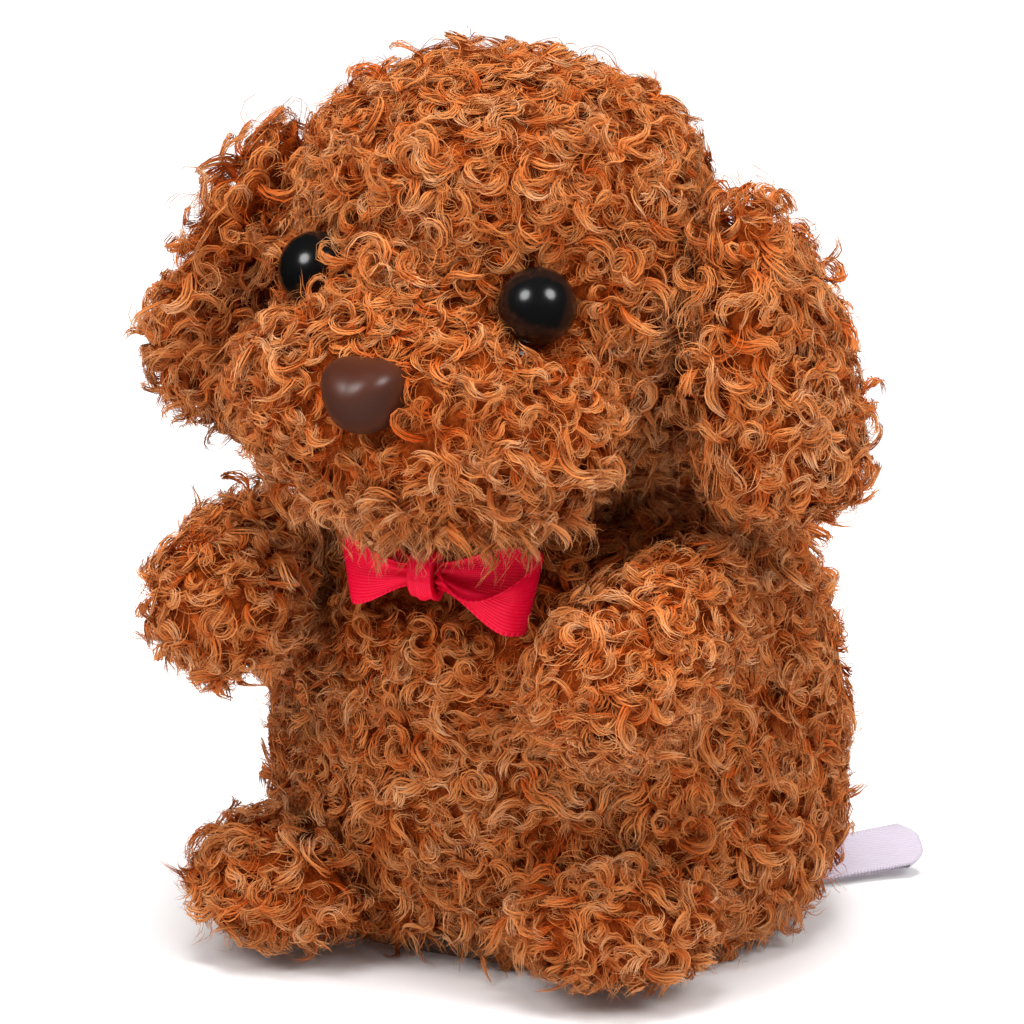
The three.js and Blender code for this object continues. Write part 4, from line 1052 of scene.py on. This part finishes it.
def bow_loop(middle, reach, half_end, half_waist, sign, drop, sag, lean, bend):
    """One loop of the ribbon, from the knot out and back, as rows x columns x 3.

    The front layer's upper edge sags and leans forward, so the loop is open at its top."""
    start, layer_gap, pleat = 2.0 * MM, 0.5 * MM, 0.5 * MM
    v = np.linspace(-1, 1, LOOP_COLUMNS)
    upper = np.clip((v + 0.25) / 1.25, 0, 1)
    out = []
    for t in np.linspace(0, 1, LOOP_ROWS):
        x, turn, angle = fold_place(t, reach - start - bend, bend)
        front = 1 - ease(angle / math.pi)
        share = min(1.0, max(0.0, x / (reach - start)))
        thick = layer_gap + (bend - layer_gap) * ease(share * 1.15)
        half = half_waist + (half_end - half_waist) * ease(share * 1.1) ** 0.85
        pleats = pleat * np.cos(v * math.pi * 2.5) * (1 - share) ** 1.5
        billow = pleat * np.sin(v * 2.2 + 0.6) * share * front
        open_here = front * math.sin(math.pi * min(1.0, share * 0.93)) ** 0.8
        y = turn * thick + pleats - lean * open_here * upper**2 + billow + BOW_SWEEP * share**1.2
        z = v * half - drop * share**1.4 - sag * open_here * upper**1.3
        slant = 1.7 * MM * share**2 * v
        out.append(np.stack([sign * (start + x + slant), y, z], axis=-1))
    return np.array(out) + np.array(middle)


def make_bow():
    """The ribbon, folded into two loops."""
    low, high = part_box("bow_ribbon")
    knot_low, knot_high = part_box("bow_knot")
    middle = (knot_low + knot_high) / 2
    reach = (high.x - low.x) / 2
    half_end = (high.z - low.z) / 2 + 0.3 * MM
    loops = [bow_loop(middle, reach, half_end, 2.1 * MM, **BOW_LOOPS[s]) for s in SIDES]
    points = np.concatenate([loops[0], loops[1][::-1]])
    rows, columns = points.shape[:2]
    bow = grid_piece("bow_loops", points)
    cloth_map(bow, RIBBON_LENGTH, RIBBON_WIDTH, rows, columns)
    wear(bow, finishes["bow_satin"])
    add_modifier(bow, "SOLIDIFY", thickness=CLOTH_THICKNESS, offset=0)
    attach(bow, "toy_body")
    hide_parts("bow_ribbon")


def make_knot():
    """The band round the bow's waist, its long edges rolled in."""
    low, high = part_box("bow_knot")
    half_height = (high.z - low.z) / 2
    half_depth = (high.y - low.y) / 2
    half_width = (high.x - low.x) / 2 * 0.94
    centre = np.array((low + high) / 2)
    rows, columns = 56, 17
    flat_share = 0.72
    angle = np.linspace(0, 2 * math.pi, rows + 1)[:-1]
    v = np.linspace(-1, 1, columns)
    rolled = np.clip((np.abs(v) - flat_share) / (1 - flat_share), 0, 1)
    x = np.sign(v) * half_width * (np.minimum(np.abs(v), flat_share) / flat_share - 0.10 * rolled)
    sink = 1.3 * MM * rolled**1.6
    out = []
    for a in angle:
        crown = 0.35 * MM * np.cos(v * 1.4) + 0.22 * MM * np.cos(v * 7 + 0.8)
        y = (half_depth + crown - sink) * math.cos(a)
        z = (half_height + crown - sink) * math.sin(a)
        out.append(np.stack([x + 0 * y, -y, z], axis=-1))
    knot = grid_piece("bow_band", np.array(out) + centre, closed=True)
    cloth_map(knot, 22 * MM, 10 * MM, rows, columns)
    wear(knot, finishes["bow_satin"])
    add_modifier(knot, "SOLIDIFY", thickness=CLOTH_THICKNESS, offset=0)
    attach(knot, "toy_body")
    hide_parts("bow_knot")


def label_points(outward, columns, rows):
    """The label's tape, from its root out and back, as rows x columns x 3."""
    aside = np.array((-outward.y, outward.x, 0))
    v = np.linspace(-1, 1, columns)
    corner = np.clip((np.abs(v) - 0.25) / 0.75, 0, 1) ** 2
    out = []
    for t in np.linspace(0, 1, rows):
        x, turn, _ = fold_place(t, LABEL_REACH - LABEL_BEND, LABEL_BEND)
        share = x / LABEL_REACH
        curve = 1.2 * MM * math.sin(share * 2.4) - 0.5 * MM * share
        y = turn * LABEL_BEND * (0.4 + 0.6 * share) + curve + 0.5 * MM * v * share
        z = v * LABEL_WIDTH * (0.40 + 0.04 * share) + 1.5 * MM * math.sin(share * 1.7)
        rounded = x - 3.4 * MM * corner * share**4
        out.append(rounded[:, None] * np.array(outward) + y[:, None] * aside + z[:, None] * UP)
    return np.array(out)


def make_label():
    """The care label: a blank satin tape folded end to end and sewn into the seam."""
    low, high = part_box("care_label")
    rows, columns = 60, 13
    reach, width = LABEL_REACH, LABEL_WIDTH
    outward = Vector((high.x - low.x, high.y - low.y, 0)).normalized()
    root = np.array((low + high) / 2 - outward * 10.5 * MM)
    tilt = np.array(Quaternion(outward, -LABEL_TILT).to_matrix())
    label = grid_piece("label_tape", label_points(outward, columns, rows) @ tilt.T + root)
    cloth_map(label, 2 * reach, width, rows, columns)
    wear(label, finishes["label_satin"])
    add_modifier(label, "SOLIDIFY", thickness=CLOTH_THICKNESS, offset=0)
    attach(label, "toy_body")
    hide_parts("care_label")


# ---------------------------------------------------------------- studio


def soft_light(name, azimuth, elevation, distance, size, power):
    """A round soft light that faces the toy."""
    data = bpy.data.lights.new(name, "AREA")
    data.shape = "DISK"
    data.size = size
    data.energy = power
    lamp = link(bpy.data.objects.new(name, data))
    a, e = math.radians(azimuth), math.radians(elevation)
    back = Vector((math.sin(a) * math.cos(e), -math.cos(a) * math.cos(e), math.sin(e)))
    lamp.location = LIGHT_TARGET + back * distance
    lamp.rotation_mode = "QUATERNION"
    lamp.rotation_quaternion = (-back).to_track_quat("-Z", "Y")
    return lamp


def make_studio():
    """A plain pale floor, a white room and soft lights."""
    ends = (-FLOOR_HALF, FLOOR_HALF)
    points = np.array([[(x, y, 0.0) for y in ends] for x in ends])
    floor = grid_piece("floor", points)
    paint = Finish("floor_paint", Roughness=0.9, Specular_IOR_Level=0.1)
    tone = paint.noise(paint.place(), 30.0)
    paint.feed("Base Color", paint.ramp(tone, ((0.0, (0.93, 0.93, 0.93)), (1.0, (0.96, 0.96, 0.96)))))
    wear(floor, paint.material)
    floor.visible_glossy = False
    world = bpy.data.worlds.new("room")
    world.use_nodes = True
    background = world.node_tree.nodes["Background"]
    background.inputs["Color"].default_value = (1, 1, 1, 1)
    background.inputs["Strength"].default_value = WORLD_STRENGTH
    bpy.context.scene.world = world
    world.cycles_visibility.glossy = False
    soft_light("key", azimuth=-20, elevation=40, distance=1.2, size=0.55, power=6.8)
    soft_light("fill", azimuth=76, elevation=42, distance=1.2, size=0.55, power=6.6)
    top = soft_light("top", azimuth=27, elevation=80, distance=2.4, size=1.3, power=62.0)
    top.visible_glossy = False
    bpy.context.scene.view_settings.view_transform = "Standard"


# ---------------------------------------------------------------- the whole toy

make_plush()
for eye_side in SIDES:
    make_eye(eye_side)
make_nose()
make_bow()
make_knot()
make_label()
make_studio()


def corners(box):
    """A box as plain lists of numbers."""
    return [[round(x, 6) for x in corner] for corner in box]
